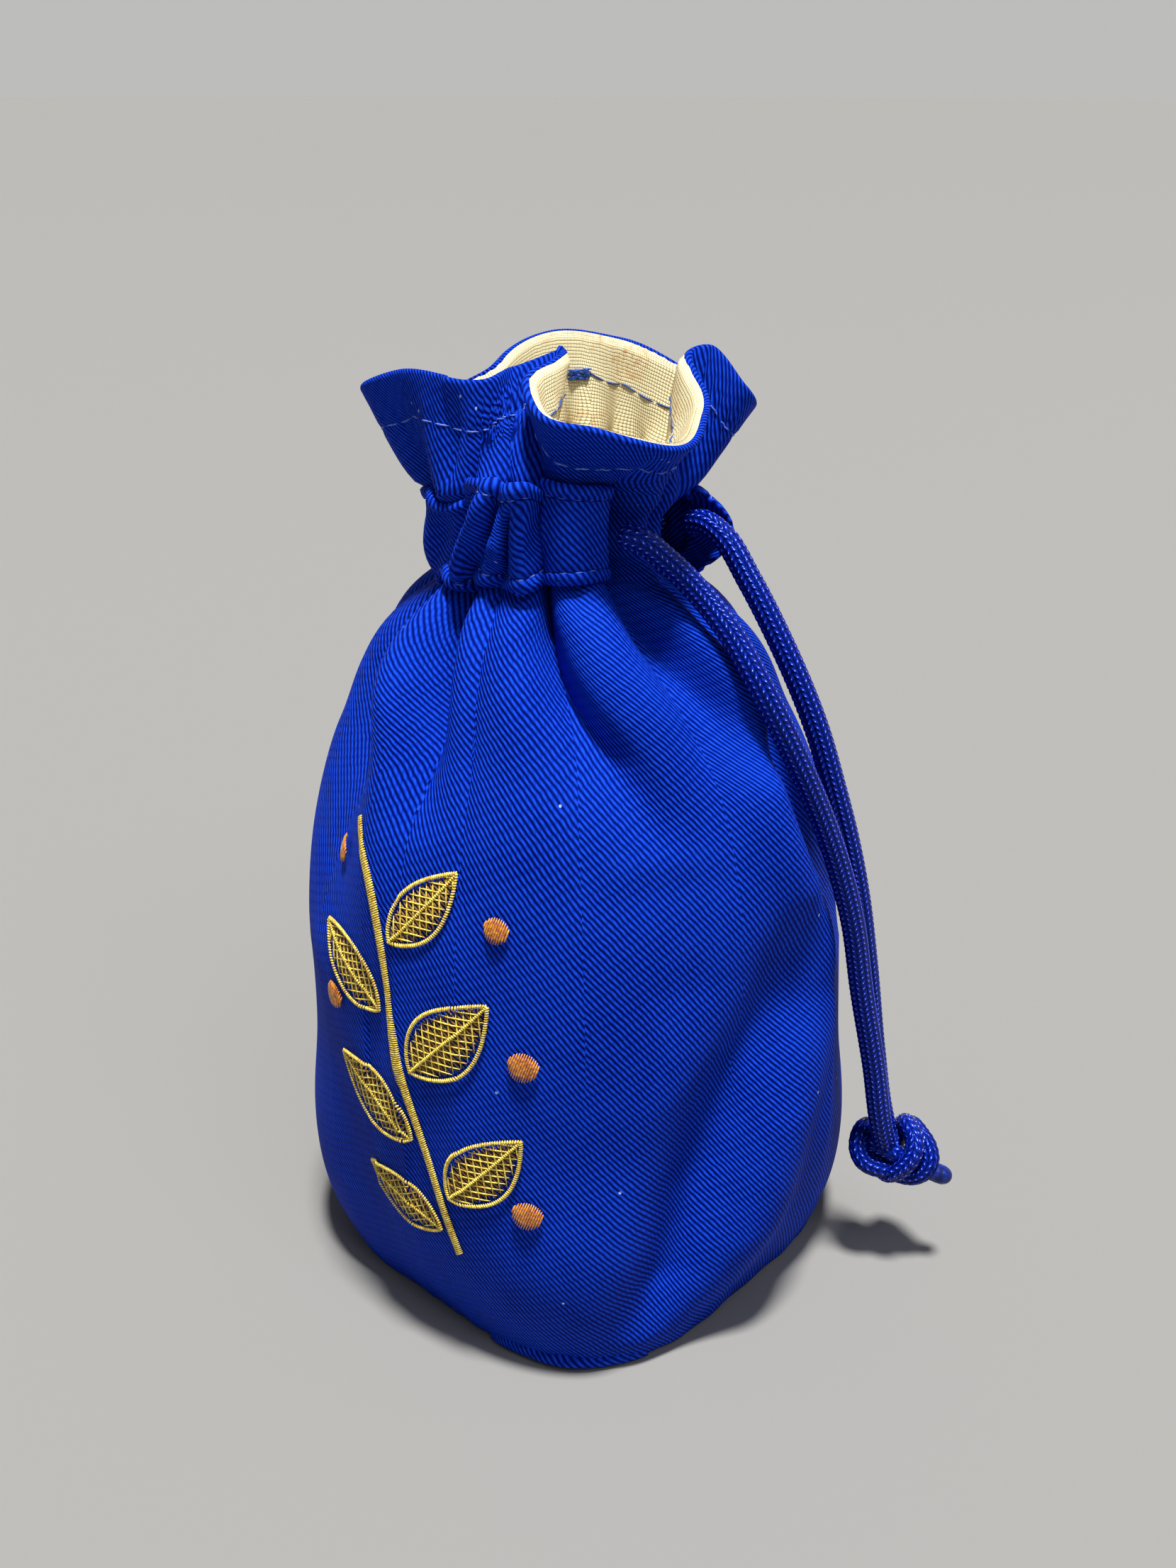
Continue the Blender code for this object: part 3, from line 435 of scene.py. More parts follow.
def add_node(tree, kind, inputs, **settings):
    """Adds a node with its settings, and sets or links its inputs by name or number."""
    made = tree.nodes.new("ShaderNode" + kind)
    for name, value in settings.items():
        setattr(made, name, value)
    for socket, value in inputs.items():
        if isinstance(value, bpy.types.NodeSocket):
            tree.links.new(value, made.inputs[socket])
        else:
            made.inputs[socket].default_value = value
    return made.outputs[0]


def new_material(name, roughness, specular, sheen, sheen_tint):
    """A material with its node tree and shader ready for a pattern."""
    made = bpy.data.materials.new(name)
    made.use_nodes = True
    shader = made.node_tree.nodes["Principled BSDF"]
    shader.inputs["Roughness"].default_value = roughness
    shader.inputs["Sheen Weight"].default_value = sheen
    shader.inputs["Sheen Tint"].default_value = linear(sheen_tint)
    shader.inputs["IOR"].default_value = 1.5
    shader.inputs["Specular IOR Level"].default_value = specular
    return made, made.node_tree, shader


def woven_places(tree, scale, reach):
    """Places on the flat cloth in metres, as cut and as its uneven yarns shift them."""
    flat = add_node(tree, "UVMap", {}, uv_map="cloth")
    uneven = add_node(tree, "TexNoise", {"Vector": flat, "Scale": scale, "Detail": 2.0})
    shifted = add_node(tree, "VectorMath", {0: uneven, 1: (0.5, 0.5, 0.5)}, operation="SUBTRACT")
    shifted = add_node(tree, "VectorMath", {0: shifted, "Scale": reach}, operation="SCALE")
    return flat, add_node(tree, "VectorMath", {0: flat, 1: shifted}, operation="ADD")


def twill_material():
    """Cotton bull twill, piece-dyed cobalt and woven 3/1, which shows as thick diagonal wales.

    The wales are drawn 0.74 mm apart where the real ones are 0.62 mm apart, to show.
    """
    wale = 0.00074
    wale_turn = 52.0
    float_length = 0.0016
    made, tree, shader = new_material("cotton_twill_cobalt", 0.7, 0.08, 0.03, "#3050e0")
    shader.inputs["Specular Tint"].default_value = linear("#4468ff")
    flat, shifted = woven_places(tree, 420.0, 0.00028)
    turned = add_node(tree, "VectorRotate", {"Vector": shifted, "Angle": np.radians(wale_turn)},
                      rotation_type="Z_AXIS")
    parts = add_node(tree, "SeparateXYZ", {"Vector": turned}).node
    count = add_node(tree, "Math", {0: parts.outputs["Y"], 1: wale}, operation="DIVIDE")
    number = add_node(tree, "Math", {0: count}, operation="FLOOR")
    wave = add_node(tree, "Math", {0: count, 1: 2 * np.pi}, operation="MULTIPLY")
    wave = add_node(tree, "Math", {0: wave}, operation="COSINE")
    rib = add_node(tree, "MapRange", {"Value": wave, "From Min": 1.0, "From Max": -0.6})
    along = add_node(tree, "Math", {0: parts.outputs["X"], 1: float_length}, operation="DIVIDE")
    stagger = add_node(tree, "Math", {0: number, 1: 0.37}, operation="MULTIPLY")
    along = add_node(tree, "Math", {0: along, 1: stagger}, operation="ADD")
    slant = add_node(tree, "Math", {0: count, 1: 0.5}, operation="MULTIPLY")
    along = add_node(tree, "Math", {0: along, 1: slant}, operation="ADD")
    yarn = add_node(tree, "Math", {0: along, 1: 2 * np.pi}, operation="MULTIPLY")
    yarn = add_node(tree, "Math", {0: yarn}, operation="COSINE")
    yarn = add_node(tree, "MapRange", {"Value": yarn, "From Min": -1.0, "From Max": 0.2, "To Min": 0.72})
    relief = add_node(tree, "Math", {0: rib, 1: yarn}, operation="MULTIPLY")
    worn = add_node(tree, "TexNoise", {"Vector": flat, "Scale": 55.0, "Detail": 4.0, "Roughness": 0.7})
    worn = add_node(tree, "MapRange", {"Value": worn, "From Min": 0.3, "From Max": 0.7, "To Min": -0.10,
                                       "To Max": 0.14})
    tone = add_node(tree, "Math", {0: relief, 1: worn}, operation="ADD", use_clamp=True)
    # The ramp paints the grooves between the wales near-black as shade and the wale tops lighter as light,
    # over the cloth's own cobalt and its random tone
    ramp = add_node(tree, "ValToRGB", {"Fac": tone}).node
    ramp.color_ramp.elements[0].color = linear("#010b52")
    ramp.color_ramp.elements[1].color = linear("#1645d2")
    ramp.color_ramp.elements.new(0.5).color = linear("#0628a2")
    specks = add_node(tree, "TexVoronoi", {"Vector": flat, "Scale": 330.0}).node
    near = add_node(tree, "Math", {0: specks.outputs["Distance"], 1: 0.085}, operation="LESS_THAN")
    pick = add_node(tree, "SeparateXYZ", {"Vector": specks.outputs["Color"]})
    pick = add_node(tree, "Math", {0: pick, 1: 0.93}, operation="GREATER_THAN")
    lint = add_node(tree, "Math", {0: near, 1: pick}, operation="MULTIPLY")
    colour = add_node(tree, "Mix", {"Factor": lint, 6: ramp.outputs["Color"], 7: linear("#9db0e8")},
                      data_type="RGBA").node
    tree.links.new(colour.outputs[2], shader.inputs["Base Color"])
    bump = add_node(tree, "Bump", {"Height": relief, "Distance": 0.0002, "Strength": 0.8})
    tree.links.new(bump, shader.inputs["Normal"])
    return made


twill = twill_material()
phases, run, wall = wall_grid()
outward = grid_normals(wall)
outer_face = wall + outward * (SEAM_GAP / 2 + TWILL)
rim_up = unit(wall[-1] - wall[-2])
roll = []
for turn in np.linspace(0.0, 1.0, ROLL_ROWS + 1)[1:] * np.radians(ROLL_TURN):
    sideways = outward[-1] * (ROLL_RADIUS * (np.cos(turn) - 1.0))
    roll.append(outer_face[-1] + sideways + rim_up * (ROLL_RADIUS * np.sin(turn)))
foot_out = unit(wall[0] - wall[0].mean(axis=0))
foot = [outer_face[0] - foot_out * reach - np.array([0.0, 0.0, drop]) for reach, drop in FOOT_ROWS]
twill_rows = np.concatenate([foot, outer_face, roll])
roll_run = run[-1] + np.arange(1, ROLL_ROWS + 1) * ROLL_STEP
twill_run = np.concatenate([[-2 * FOOT_STEP, -FOOT_STEP], run, roll_run])
belly = wall[BELLY_ROW]
cloth_ends = run_along(np.concatenate([belly, belly[:1]]))
collar_run = run[-1] - run[-COLLAR_ROWS]
loosen = ease(twill_run, run[-COLLAR_ROWS] + collar_run * COLLAR_LOOSE_START, run[-1])
loosen = np.maximum(loosen, 1.0 - ease(twill_run, run[BELLY_ROW], run[SHOULDER_ROW]))
left, right = cloth_places(twill_rows, phases, True, cloth_ends, loosen)
outer_wall = cloth_object("twill_wall", twill_rows, True, left, right, twill_run)
thicken(outer_wall, 0.0, -TWILL * 0.8)
finish_piece(outer_wall, twill, "outer_side_panel")

DISC_RINGS = 12


def disc_object(name, outline, low, thickness):
    """A flat piece of cloth with the given outline, with rings of points out to its edge."""
    centre = outline.mean(axis=0)
    rings = [centre + (outline - centre) * share for share in np.linspace(0.02, 1.0, DISC_RINGS)]
    rows = np.array(rings)[::-1]
    rows[..., 2] = low
    row_count, column_count = rows.shape[:2]
    faces = []
    for ring in range(row_count - 1):
        for column in range(column_count):
            beside = (column + 1) % column_count
            near, far = ring * column_count, (ring + 1) * column_count
            faces.append((near + column, near + beside, far + beside, far + column))
    faces.append([(row_count - 1) * column_count + column for column in range(column_count)])
    mesh = bpy.data.meshes.new(name)
    points = rows.reshape(-1, 3)
    mesh.from_pydata(points.tolist(), [], faces)
    corners = np.zeros(len(mesh.loops), dtype=np.int32)
    mesh.loops.foreach_get("vertex_index", corners)
    mesh.uv_layers.new(name="cloth").data.foreach_set("uv", points[corners, :2].astype(np.float32).ravel())
    made = add_object(name, mesh)
    thicken(made, 0.0, thickness)
    return made


base = disc_object("twill_base", twill_rows[0][::2], 0.0, TWILL)
finish_piece(base, twill, "outer_base")

# Turned edge of the base seam, which shows under the front corner: the phases at its ends, and the
# height above the floor and the reach beyond the wall of each of its rows
TURNED_PHASES = (1.55, 2.85)
TURNED_COLUMNS = 60
TURNED_ROWS = ((0.0003, 0.0009), (0.0008, 0.0014), (0.0015, 0.0014), (0.0021, 0.0010), (0.0025, 0.0003),
               (0.0026, -0.0004))


def turned_rows():
    """Points of the seam's turned edge in rows from the floor up, and the columns' phases."""
    edge_phases = np.linspace(*TURNED_PHASES, TURNED_COLUMNS)
    share = np.linspace(0.0, 1.0, TURNED_COLUMNS)
    full = np.sin(np.pi * share) ** 0.8 * (0.8 + 0.2 * np.sin(11.0 * share + 1.0))
    foot = wall_point(edge_phases, FOOT_HEIGHT)
    away = unit((foot - wall[0].mean(axis=0)) * (1.0, 1.0, 0.0))
    rows = []
    for height, reach in TURNED_ROWS:
        place = foot + away * (SEAM_GAP / 2 + TWILL + reach * full)[:, None]
        place[:, 2] = height * (0.85 + 0.15 * full)
        rows.append(place)
    return edge_phases, np.array(rows)


turned_phases, turned = turned_rows()
turned_ends = turned_phases * cloth_ends[-1] / PLEAT_COUNT
left, right = cloth_places(turned, turned_phases, False, turned_ends, np.ones(len(turned)))
turned_edge = cloth_object("twill_base_seam", turned, False, left, right, run_along(turned))
thicken(turned_edge, 0.0, -TWILL * 0.6)
finish_piece(turned_edge, twill, "outer_base")

# Lining: a second bag of cream linen-look plain weave, sewn to the twill at the rim and turned inside.
# It shows in the open collar with its slubs, and its bottom lies hidden on the twill bottom.

LINEN = 0.0005
LINING_GAP = 0.0006
LIP_RISE = 0.0002
LIP_STEP = 0.0004
FLOOR_INSET = 0.05


def linen_material():
    """Unbleached plain weave of slubby yarns, drawn at 0.52 mm where the real one has 0.45 mm, to show."""
    yarn = 0.00052
    made, tree, shader = new_material("linen_weave_cream", 0.85, 0.2, 0.1, "#fff4d8")
    flat, shifted = woven_places(tree, 300.0, 0.0004)
    scaled = add_node(tree, "VectorMath", {0: shifted, "Scale": np.pi / yarn}, operation="SCALE")
    parts = add_node(tree, "SeparateXYZ", {"Vector": scaled}).node
    warp = add_node(tree, "Math", {0: parts.outputs["X"]}, operation="SINE")
    weft = add_node(tree, "Math", {0: parts.outputs["Y"]}, operation="SINE")
    cross = add_node(tree, "Math", {0: warp, 1: weft}, operation="MULTIPLY")
    cross = add_node(tree, "Math", {0: cross}, operation="ABSOLUTE")
    weave = add_node(tree, "MapRange", {"Value": cross, "From Min": 0.0, "From Max": 0.55})
    patches = add_node(tree, "TexNoise", {"Vector": flat, "Scale": 70.0, "Detail": 2.0})
    patches = add_node(tree, "MapRange", {"Value": patches, "From Min": 0.48, "From Max": 0.62})
    flecks = add_node(tree, "TexNoise", {"Vector": flat, "Scale": 620.0, "Detail": 4.0, "Roughness": 0.7})
    flecks = add_node(tree, "MapRange", {"Value": flecks, "From Min": 0.46, "From Max": 0.66})
    stains = add_node(tree, "Math", {0: patches, 1: flecks}, operation="MULTIPLY")
    stains = add_node(tree, "Math", {0: stains, 1: 0.75}, operation="MULTIPLY")
    # The ramp paints the lines between the yarns darker tan as shade, over the linen's own cream
    ramp = add_node(tree, "ValToRGB", {"Fac": weave}).node
    ramp.color_ramp.elements[0].color = linear("#b3a270")
    ramp.color_ramp.elements[1].color = linear("#e0dabb")
    ramp.color_ramp.elements.new(0.45).color = linear("#d6caa3")
    colour = add_node(tree, "Mix", {"Factor": stains, 6: ramp.outputs["Color"], 7: linear("#b87e34")},
                      data_type="RGBA").node
    tree.links.new(colour.outputs[2], shader.inputs["Base Color"])
    bump = add_node(tree, "Bump", {"Height": weave, "Distance": 0.0002, "Strength": 0.7})
    tree.links.new(bump, shader.inputs["Normal"])
    return made


linen = linen_material()
inside = wall - outward * (SEAM_GAP / 2)
inner_rows = np.concatenate([inside[2:BODY_ROWS:3], inside[BODY_ROWS:]])[:, ::2]
inner_run = np.concatenate([run[2:BODY_ROWS:3], run[BODY_ROWS:]])
lip = inner_rows[-1] + rim_up[::2] * LIP_RISE - outward[-1][::2] * LINING_GAP * 0.4
inner_rows = np.concatenate([inner_rows, [lip]])
inner_run = np.append(inner_run, run[-1] + LIP_STEP)
inner_loosen = ease(inner_run, run[-COLLAR_ROWS] + collar_run * COLLAR_LOOSE_START, run[-1])
inner_ends = np.append(cloth_ends[:-1][::2], cloth_ends[-1])
left, right = cloth_places(inner_rows, phases[::2], True, inner_ends, inner_loosen)
lining = cloth_object("linen_wall", inner_rows, True, left, right, inner_run)
thicken(lining, 0.0, -LINEN - LINING_GAP)
finish_piece(lining, linen, "lining_side_panel")

floor_outline = inner_rows[0] - (inner_rows[0] - inner_rows[0].mean(axis=0)) * FLOOR_INSET
lining_base = disc_object("linen_base", floor_outline, TWILL + SEAM_GAP, LINEN)
finish_piece(lining_base, linen, "lining_base")

# Stitches at the rim: one row of lockstitch 7 mm below the edge, through twill and lining. Outside it
# is a pale blue cotton thread, and inside the same thread shows as a thin dark line.

STITCH_LENGTH = 0.0024
STITCH_GAP = 0.0007
STITCH_RISE = 0.00008
STITCH_ARCH = np.array([-0.6, 0.7, 1.0, 0.7, -0.6])
INNER_DISTANCE = 0.0066
INNER_LENGTH = 0.0032
INNER_GAP = 0.0002
INNER_RISE = 0.00012
THREAD_WIDTH = 0.00030
THREAD_SIDES = 6


def thread_faces(points, up, width):
    """Points and faces of one closed thread along a short line, thinner at its ends."""
    sides = THREAD_SIDES
    across = unit(np.cross(unit(np.gradient(points, axis=0)), up))
    taper = np.full(len(points), width / 2)
    taper[[0, -1]] = width / 5
    angles = np.linspace(0.0, 2 * np.pi, sides, endpoint=False)
    ring = across[:, None] * np.cos(angles)[None, :, None] + up[:, None] * np.sin(angles)[None, :, None]
    ends = (points[:, None] + ring * taper[:, None, None]).reshape(-1, 3)
    faces = []
    for row in range(len(points) - 1):
        for side in range(sides):
            beside = (side + 1) % sides
            low, high = row * sides, (row + 1) * sides
            faces.append((low + side, high + side, high + beside, low + beside))
    faces.append(tuple(range(sides)))
    faces.append(tuple(len(ends) - 1 - side for side in range(sides)))
    return ends, faces


def thread_object(name, threads, finish):
    """One mesh of many short threads, each a pair of points and outward directions with a width."""
    points, faces, start = [], [], 0
    for line, up, width in threads:
        ends, walls = thread_faces(line, up, width)
        points.append(ends)
        faces.extend(tuple(corner + start for corner in wall) for wall in walls)
        start += len(ends)
    mesh = bpy.data.meshes.new(name)
    mesh.from_pydata(np.concatenate(points).tolist(), [], faces)
    mesh.shade_smooth()
    mesh.materials.append(finish)
    made = add_object(name, mesh)
    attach(made, "root")
    return made


def points_at(places, distance, line):
    """Points at the given distances along a line."""
    return np.stack([np.interp(places, distance, column) for column in line.T], axis=-1)


def stitch_row(line, outward_side, length, gap, rise, closed=True):
    """Stitches along a line on the cloth, each arched a little over the cloth between its holes."""
    line = np.concatenate([line, line[:1]]) if closed else line
    outward_side = np.concatenate([outward_side, outward_side[:1]]) if closed else outward_side
    distance = run_along(line)
    count = int(distance[-1] / (length + gap))
    stitches = []
    for number in range(count):
        start = number * distance[-1] / count
        places = start + np.linspace(0.0, length, len(STITCH_ARCH))
        points = points_at(places, distance, line)
        up = unit(points_at(places, distance, outward_side))
        stitches.append((points + up * (rise * STITCH_ARCH)[:, None], up, THREAD_WIDTH))
    return stitches


def thread_material(name, colour, painted_shade, roughness):
    """Spun and mercerised thread: two plies twisted together, with painted shade between them."""
    made, tree, shader = new_material(name, roughness, 0.4, 0.1, "#ffffff")
    place = add_node(tree, "TexCoord", {}).node.outputs["Object"]
    plies = add_node(tree, "TexNoise", {"Vector": place, "Scale": 1800.0, "Detail": 2.0})
    plies = add_node(tree, "MapRange", {"Value": plies, "From Min": 0.35, "From Max": 0.65})
    # Painted shade between the plies: the noise mixes the darker shade colour into the thread's own colour
    mixed = add_node(tree, "Mix", {"Factor": plies, 6: linear(painted_shade), 7: linear(colour)},
                     data_type="RGBA").node
    tree.links.new(mixed.outputs[2], shader.inputs["Base Color"])
    bump = add_node(tree, "Bump", {"Height": plies, "Distance": 0.00008, "Strength": 0.6})
    tree.links.new(bump, shader.inputs["Normal"])
    return made


def collar_line(distance, lift):
    """A line round the collar at a distance below the rim, lifted off the middle surface."""
    collar = wall[-COLLAR_ROWS:] + outward[-COLLAR_ROWS:] * lift
    reach = np.linalg.norm(collar[-1] - collar[0], axis=1)
    share = np.clip(1.0 - distance / reach, 0.02, 1.0) * (COLLAR_ROWS - 1)
    low = np.minimum(share.astype(int), COLLAR_ROWS - 2)
    rest = (share - low)[:, None]
    columns = np.arange(collar.shape[1])
    side = outward[-COLLAR_ROWS:]
    return (collar[low, columns] * (1 - rest) + collar[low + 1, columns] * rest,
            side[low, columns] * (1 - rest) + side[low + 1, columns] * rest)


stitch_thread = thread_material("cotton_thread_pale_blue", "#5a7ad8", "#2448b4", 0.6)
line, side = collar_line(STITCH_DISTANCE, SEAM_GAP / 2 + TWILL)
thread_object("rim_stitches_outside", stitch_row(line, side, STITCH_LENGTH, STITCH_GAP, STITCH_RISE),
              stitch_thread)
inner_thread = thread_material("cotton_thread_navy", "#2b4a9c", "#16307a", 0.6)
line, side = collar_line(INNER_DISTANCE, -SEAM_GAP / 2 - LINEN - LINING_GAP)
thread_object("rim_stitches_inside", stitch_row(line, -side, INNER_LENGTH, INNER_GAP, INNER_RISE),
              inner_thread)

# Where the inner stitching ends, its thread is knotted in a small blue tangle
TANGLE_PHASES = (9.40, 10.05)
TANGLE_THREADS = 26
TANGLE_RISE = 0.0009
LOOSE_ARCH = np.array([0.0, 0.8, 1.0, 0.8, 0.0])

columns = np.where((phases >= TANGLE_PHASES[0]) & (phases <= TANGLE_PHASES[1]))[0]
tangle = []
for number in range(TANGLE_THREADS):
    first, last = line[columns[0]], line[columns[-1]]
    share = np.array([0.5 + 0.5 * np.sin(2.4 * number), 0.5 + 0.5 * np.sin(2.4 * number + 2.0)])
    ends = first + (last - first) * share[:, None]
    ends[:, 2] += TANGLE_RISE * np.sin([1.7 * number, 2.9 * number + 1.0])
    points = ends[0] + (ends[1] - ends[0]) * np.linspace(0.0, 1.0, len(LOOSE_ARCH))[:, None]
    up = np.repeat(-side[columns[:1]], len(LOOSE_ARCH), axis=0)
    tangle.append((points + up * (TANGLE_RISE * LOOSE_ARCH)[:, None], up, THREAD_WIDTH))
tangle_thread = thread_material("cotton_thread_royal", "#2f62d0", "#12348c", 0.6)
thread_object("rim_thread_tangle", tangle, tangle_thread)

# Casing: a strip of the same twill with both long edges turned under, stitched round the neck along
# them. The cord runs inside it and comes out where its two ends meet at the right.

CASING_COLUMNS = 22
CASING_RIPPLE = 0.0022
CASING_FLATNESS = 0.6
CASING_END_FLARE = 0.0062
CASING_FLARE_PHASES = 1.2
CASING_FRONT_START = (14.0, 14.5)
CASING_VALLEY_LIFT = 0.0012
CASING_CLEARANCE = 0.0003
CASING_STITCH_LENGTH = 0.0016
HEM_OPENING = 0.45
HEM_SHARE = 0.10
HEM_LIFT = 0.0005
HEM_STEP = 0.0006
HEM_RISE = 0.00035
HEM_GROOVE = 0.00025
HEM_TUCK = 0.0004
SLANT_RISE = 0.0004
# Phases before the strip's front end over which its folds fade into the smooth tab
TAB_START = (0.95, 0.7)
# Folds of the strip at the front, one row each: phase at the lower edge and at the upper edge, half
# width in phase, rise
CASING_FOLDS = ((14.55, 14.6, 0.30, 0.0026), (15.25, 16.35, 0.25, 0.0046), (16.05, 16.95, 0.19, 0.0040),
                (17.02, 17.1, 0.19, 0.0046), (17.42, 17.38, 0.08, -0.0014), (17.92, 17.92, 0.40, 0.0030))
# Where the strip's two edges wander: phase, height of the lower edge, height of the upper edge
HEM_WAVES = ((6.0, 0.0, 0.0), (14.0, 0.0, 0.0), (14.6, -0.0009, 0.0006), (15.0, 0.0014, -0.0010),
             (15.55, -0.0014, -0.0006), (15.75, 0.0006, 0.0012), (16.3, -0.0005, 0.0012),
             (16.5, -0.0014, -0.0006), (17.1, -0.0012, 0.0008), (17.4, 0.0006, -0.0008),
             (17.6, -0.0007, 0.0003), (18.375, 0.0, 0.0))
# Rows of the strip as shares of its width, closer at the hems
CASING_SHARES = np.array((0.0, 0.02, 0.045, 0.07, 0.09, 0.11, 0.14, 0.18, 0.24, 0.31, 0.39, 0.47, 0.53,
                          0.61, 0.69, 0.76, 0.82, 0.86, 0.89, 0.91, 0.93, 0.955, 0.98, 1.0))


def casing_rows():
    """Points of the strip in rows from its lower edge to its upper one, and the columns' phases."""
    count = int(round((CASING_FRONT_PHASE - CASING_REAR_PHASE) * CASING_COLUMNS))
    strip_phases = np.linspace(CASING_REAR_PHASE, CASING_FRONT_PHASE, count + 1)
    wave_phases, low_waves, high_waves = np.array(HEM_WAVES).T
    angle = np.radians(pleat_angle(strip_phases, CORD_HEIGHT))
    side = np.stack([np.sin(angle), -np.cos(angle), 0 * angle], axis=-1)
    bridged = CASING_VALLEY_LIFT * (1.0 - pleat_wave(strip_phases)) / 2
    edges = []
    for seam, waves, row in ((SEAM_HEIGHT, low_waves, 1), (UPPER_HEIGHT, high_waves, 2)):
        near = HEM_STEP * (np.arange(3) - row)[:, None]
        band = wall_point(strip_phases[None, :], seam + np.interp(strip_phases, wave_phases, waves) + near)
        normal = unit(np.cross(np.gradient(band[row], axis=0), np.gradient(band, axis=0)[row]))
        edges.append(band[row] + normal * (SEAM_GAP / 2 + TWILL + HEM_LIFT) + side * bridged[:, None])
    flare_end = CASING_REAR_PHASE + CASING_FLARE_PHASES
    flare = CASING_END_FLARE * (1.0 - ease(strip_phases, CASING_REAR_PHASE, flare_end))
    height = CORD_HEIGHT + 0 * strip_phases
    front = ease(strip_phases, *CASING_FRONT_START)
    rows = []
    for share in CASING_SHARES:
        fold = 0.0
        for low_phase, high_phase, half_width, rise in CASING_FOLDS:
            away = (strip_phases - low_phase * (1.0 - share) - high_phase * share) / half_width
            fold = fold + front * rise * np.exp(-(away**2))
        radius = CORD_RING_RADIUS + CORD_DIAMETER / 2 + CASING_CLEARANCE + flare + fold
        radius = radius + CASING_RIPPLE * (1.0 - front) * (pleat_wave(strip_phases) + 1.0) / 2
        bridge = around(pleat_angle(strip_phases, height), radius, height)
        edge = edges[0] * (1.0 - share) + edges[1] * share
        over = np.sin(np.pi * share) ** CASING_FLATNESS
        opened = (1.0 - over) * HEM_OPENING * np.maximum(fold, 0.0)
        place = edge + (bridge - edge) * over + side * opened[:, None]
        place[:, 2] = edge[:, 2]
        rows.append(place)
    return strip_phases, np.array(rows)


def open_normals(rows):
    """Outward direction at each point of an open strip."""
    return unit(np.cross(np.gradient(rows, axis=1), np.gradient(rows, axis=0)))


def casing_relief(strip_phases, share):
    """Hems raised by their turned-under edge, a groove at each stitch line, and slanting folds."""
    edge = np.minimum(share, 1.0 - share)
    hem = HEM_RISE * (1.0 - ease(edge, HEM_SHARE * 0.6, HEM_SHARE))
    groove = HEM_GROOVE * np.exp(-(((edge - HEM_SHARE) / 0.018) ** 2))
    slant = np.sin(2 * np.pi * (strip_phases * 2.1 - share * 0.8))
    tab_start, tab_full = CASING_FRONT_PHASE - np.array(TAB_START)
    folded = 1.0 - ease(strip_phases, tab_start, tab_full)
    return hem - groove + SLANT_RISE * slant * np.sin(np.pi * share) * folded


strip_phases, strip = casing_rows()
strip_out = open_normals(strip)
strip = strip + strip_out * casing_relief(strip_phases[None, :], CASING_SHARES[:, None])[..., None]
strip_out = open_normals(strip)
tuck_up = np.array([0.0, 0.0, HEM_TUCK])
under = [strip[0] - strip_out[0] * 2 * HEM_TUCK + tuck_up, strip[0] - strip_out[0] * HEM_TUCK]
over = [strip[-1] - strip_out[-1] * HEM_TUCK, strip[-1] - strip_out[-1] * 2 * HEM_TUCK - tuck_up]
strip_rows = np.concatenate([under, strip, over])
strip_run = run_along(strip_rows)
strip_ends = strip_phases * cloth_ends[-1] / PLEAT_COUNT
left, right = cloth_places(strip_rows, strip_phases, False, strip_ends, np.zeros(len(strip_rows)))
casing = cloth_object("twill_casing", strip_rows, False, left, right, strip_run)
thicken(casing, 0.0, TWILL)
finish_piece(casing, twill, "casing_strip")

low_row = int(np.argmin(np.abs(CASING_SHARES - HEM_SHARE)))
casing_threads = []
for row in (low_row, len(CASING_SHARES) - 1 - low_row):
    casing_threads += stitch_row(strip[row] + strip_out[row] * TWILL, strip_out[row],
                                 CASING_STITCH_LENGTH, STITCH_GAP, INNER_RISE, closed=False)
thread_object("casing_stitches", casing_threads, stitch_thread)

# Drawcord: one braided nylon cord of 4 mm that runs in the casing and hangs down at the right as two
# strands. The braid is a herringbone: columns of slanting yarns that lean left and right by turns.

CORD_COLUMNS = 12
BRAID_PITCH = 0.00105
BRAID_RELIEF = 0.00022
BRAID_SIDES = 36
END_ROUNDING = 0.25
HIDDEN_STEP = 0.0008
STRAND_STEP = 0.00026
# Angles at which the cord enters and leaves the casing, the long way round the neck
CASING_ARC = (38.0, 140.0 - 360.0)
CASING_ARC_MARKS = 40
FRONT_STRAND = (
    (0.0143, -0.0095, 0.1312), (0.0172, -0.0081, 0.1305), (0.0198, -0.0059, 0.1279),
    (0.0241, -0.0028, 0.1227), (0.0294, -0.0019, 0.1172), (0.0341, -0.0017, 0.1110),
    (0.0393, 0.0024, 0.0981), (0.0416, 0.0061, 0.0889), (0.0437, 0.0096, 0.0787),
    (0.0454, 0.0122, 0.0686), (0.0469, 0.0143, 0.0555), (0.0491, 0.0165, 0.0409),
    (0.0510, 0.0184, 0.0268), (0.0514, 0.0194, 0.0238),
)
REAR_STRAND = (
    (0.0124, 0.0107, 0.1287), (0.0165, 0.0101, 0.1292), (0.0197, 0.0096, 0.1280),
    (0.0252, 0.0091, 0.1221), (0.0306, 0.0094, 0.1141), (0.0374, 0.0112, 0.0997),
    (0.0400, 0.0127, 0.0906), (0.0421, 0.0146, 0.0812), (0.0438, 0.0164, 0.0711),
    (0.0453, 0.0183, 0.0582), (0.0470, 0.0205, 0.0409), (0.0490, 0.0221, 0.0271),
    (0.0500, 0.0221, 0.0240),
)


def even_line(marks, step):
    """Evenly spaced points on one smooth curve through the marks."""
    marks = np.array(marks, float)
    distance = run_along(marks)
    fine = smooth(distance, marks, np.linspace(0.0, distance[-1], 20 * len(marks)))
    distance = run_along(fine)
    places = np.linspace(0.0, distance[-1], int(round(distance[-1] / step)) + 1)
    return points_at(places, distance, fine)


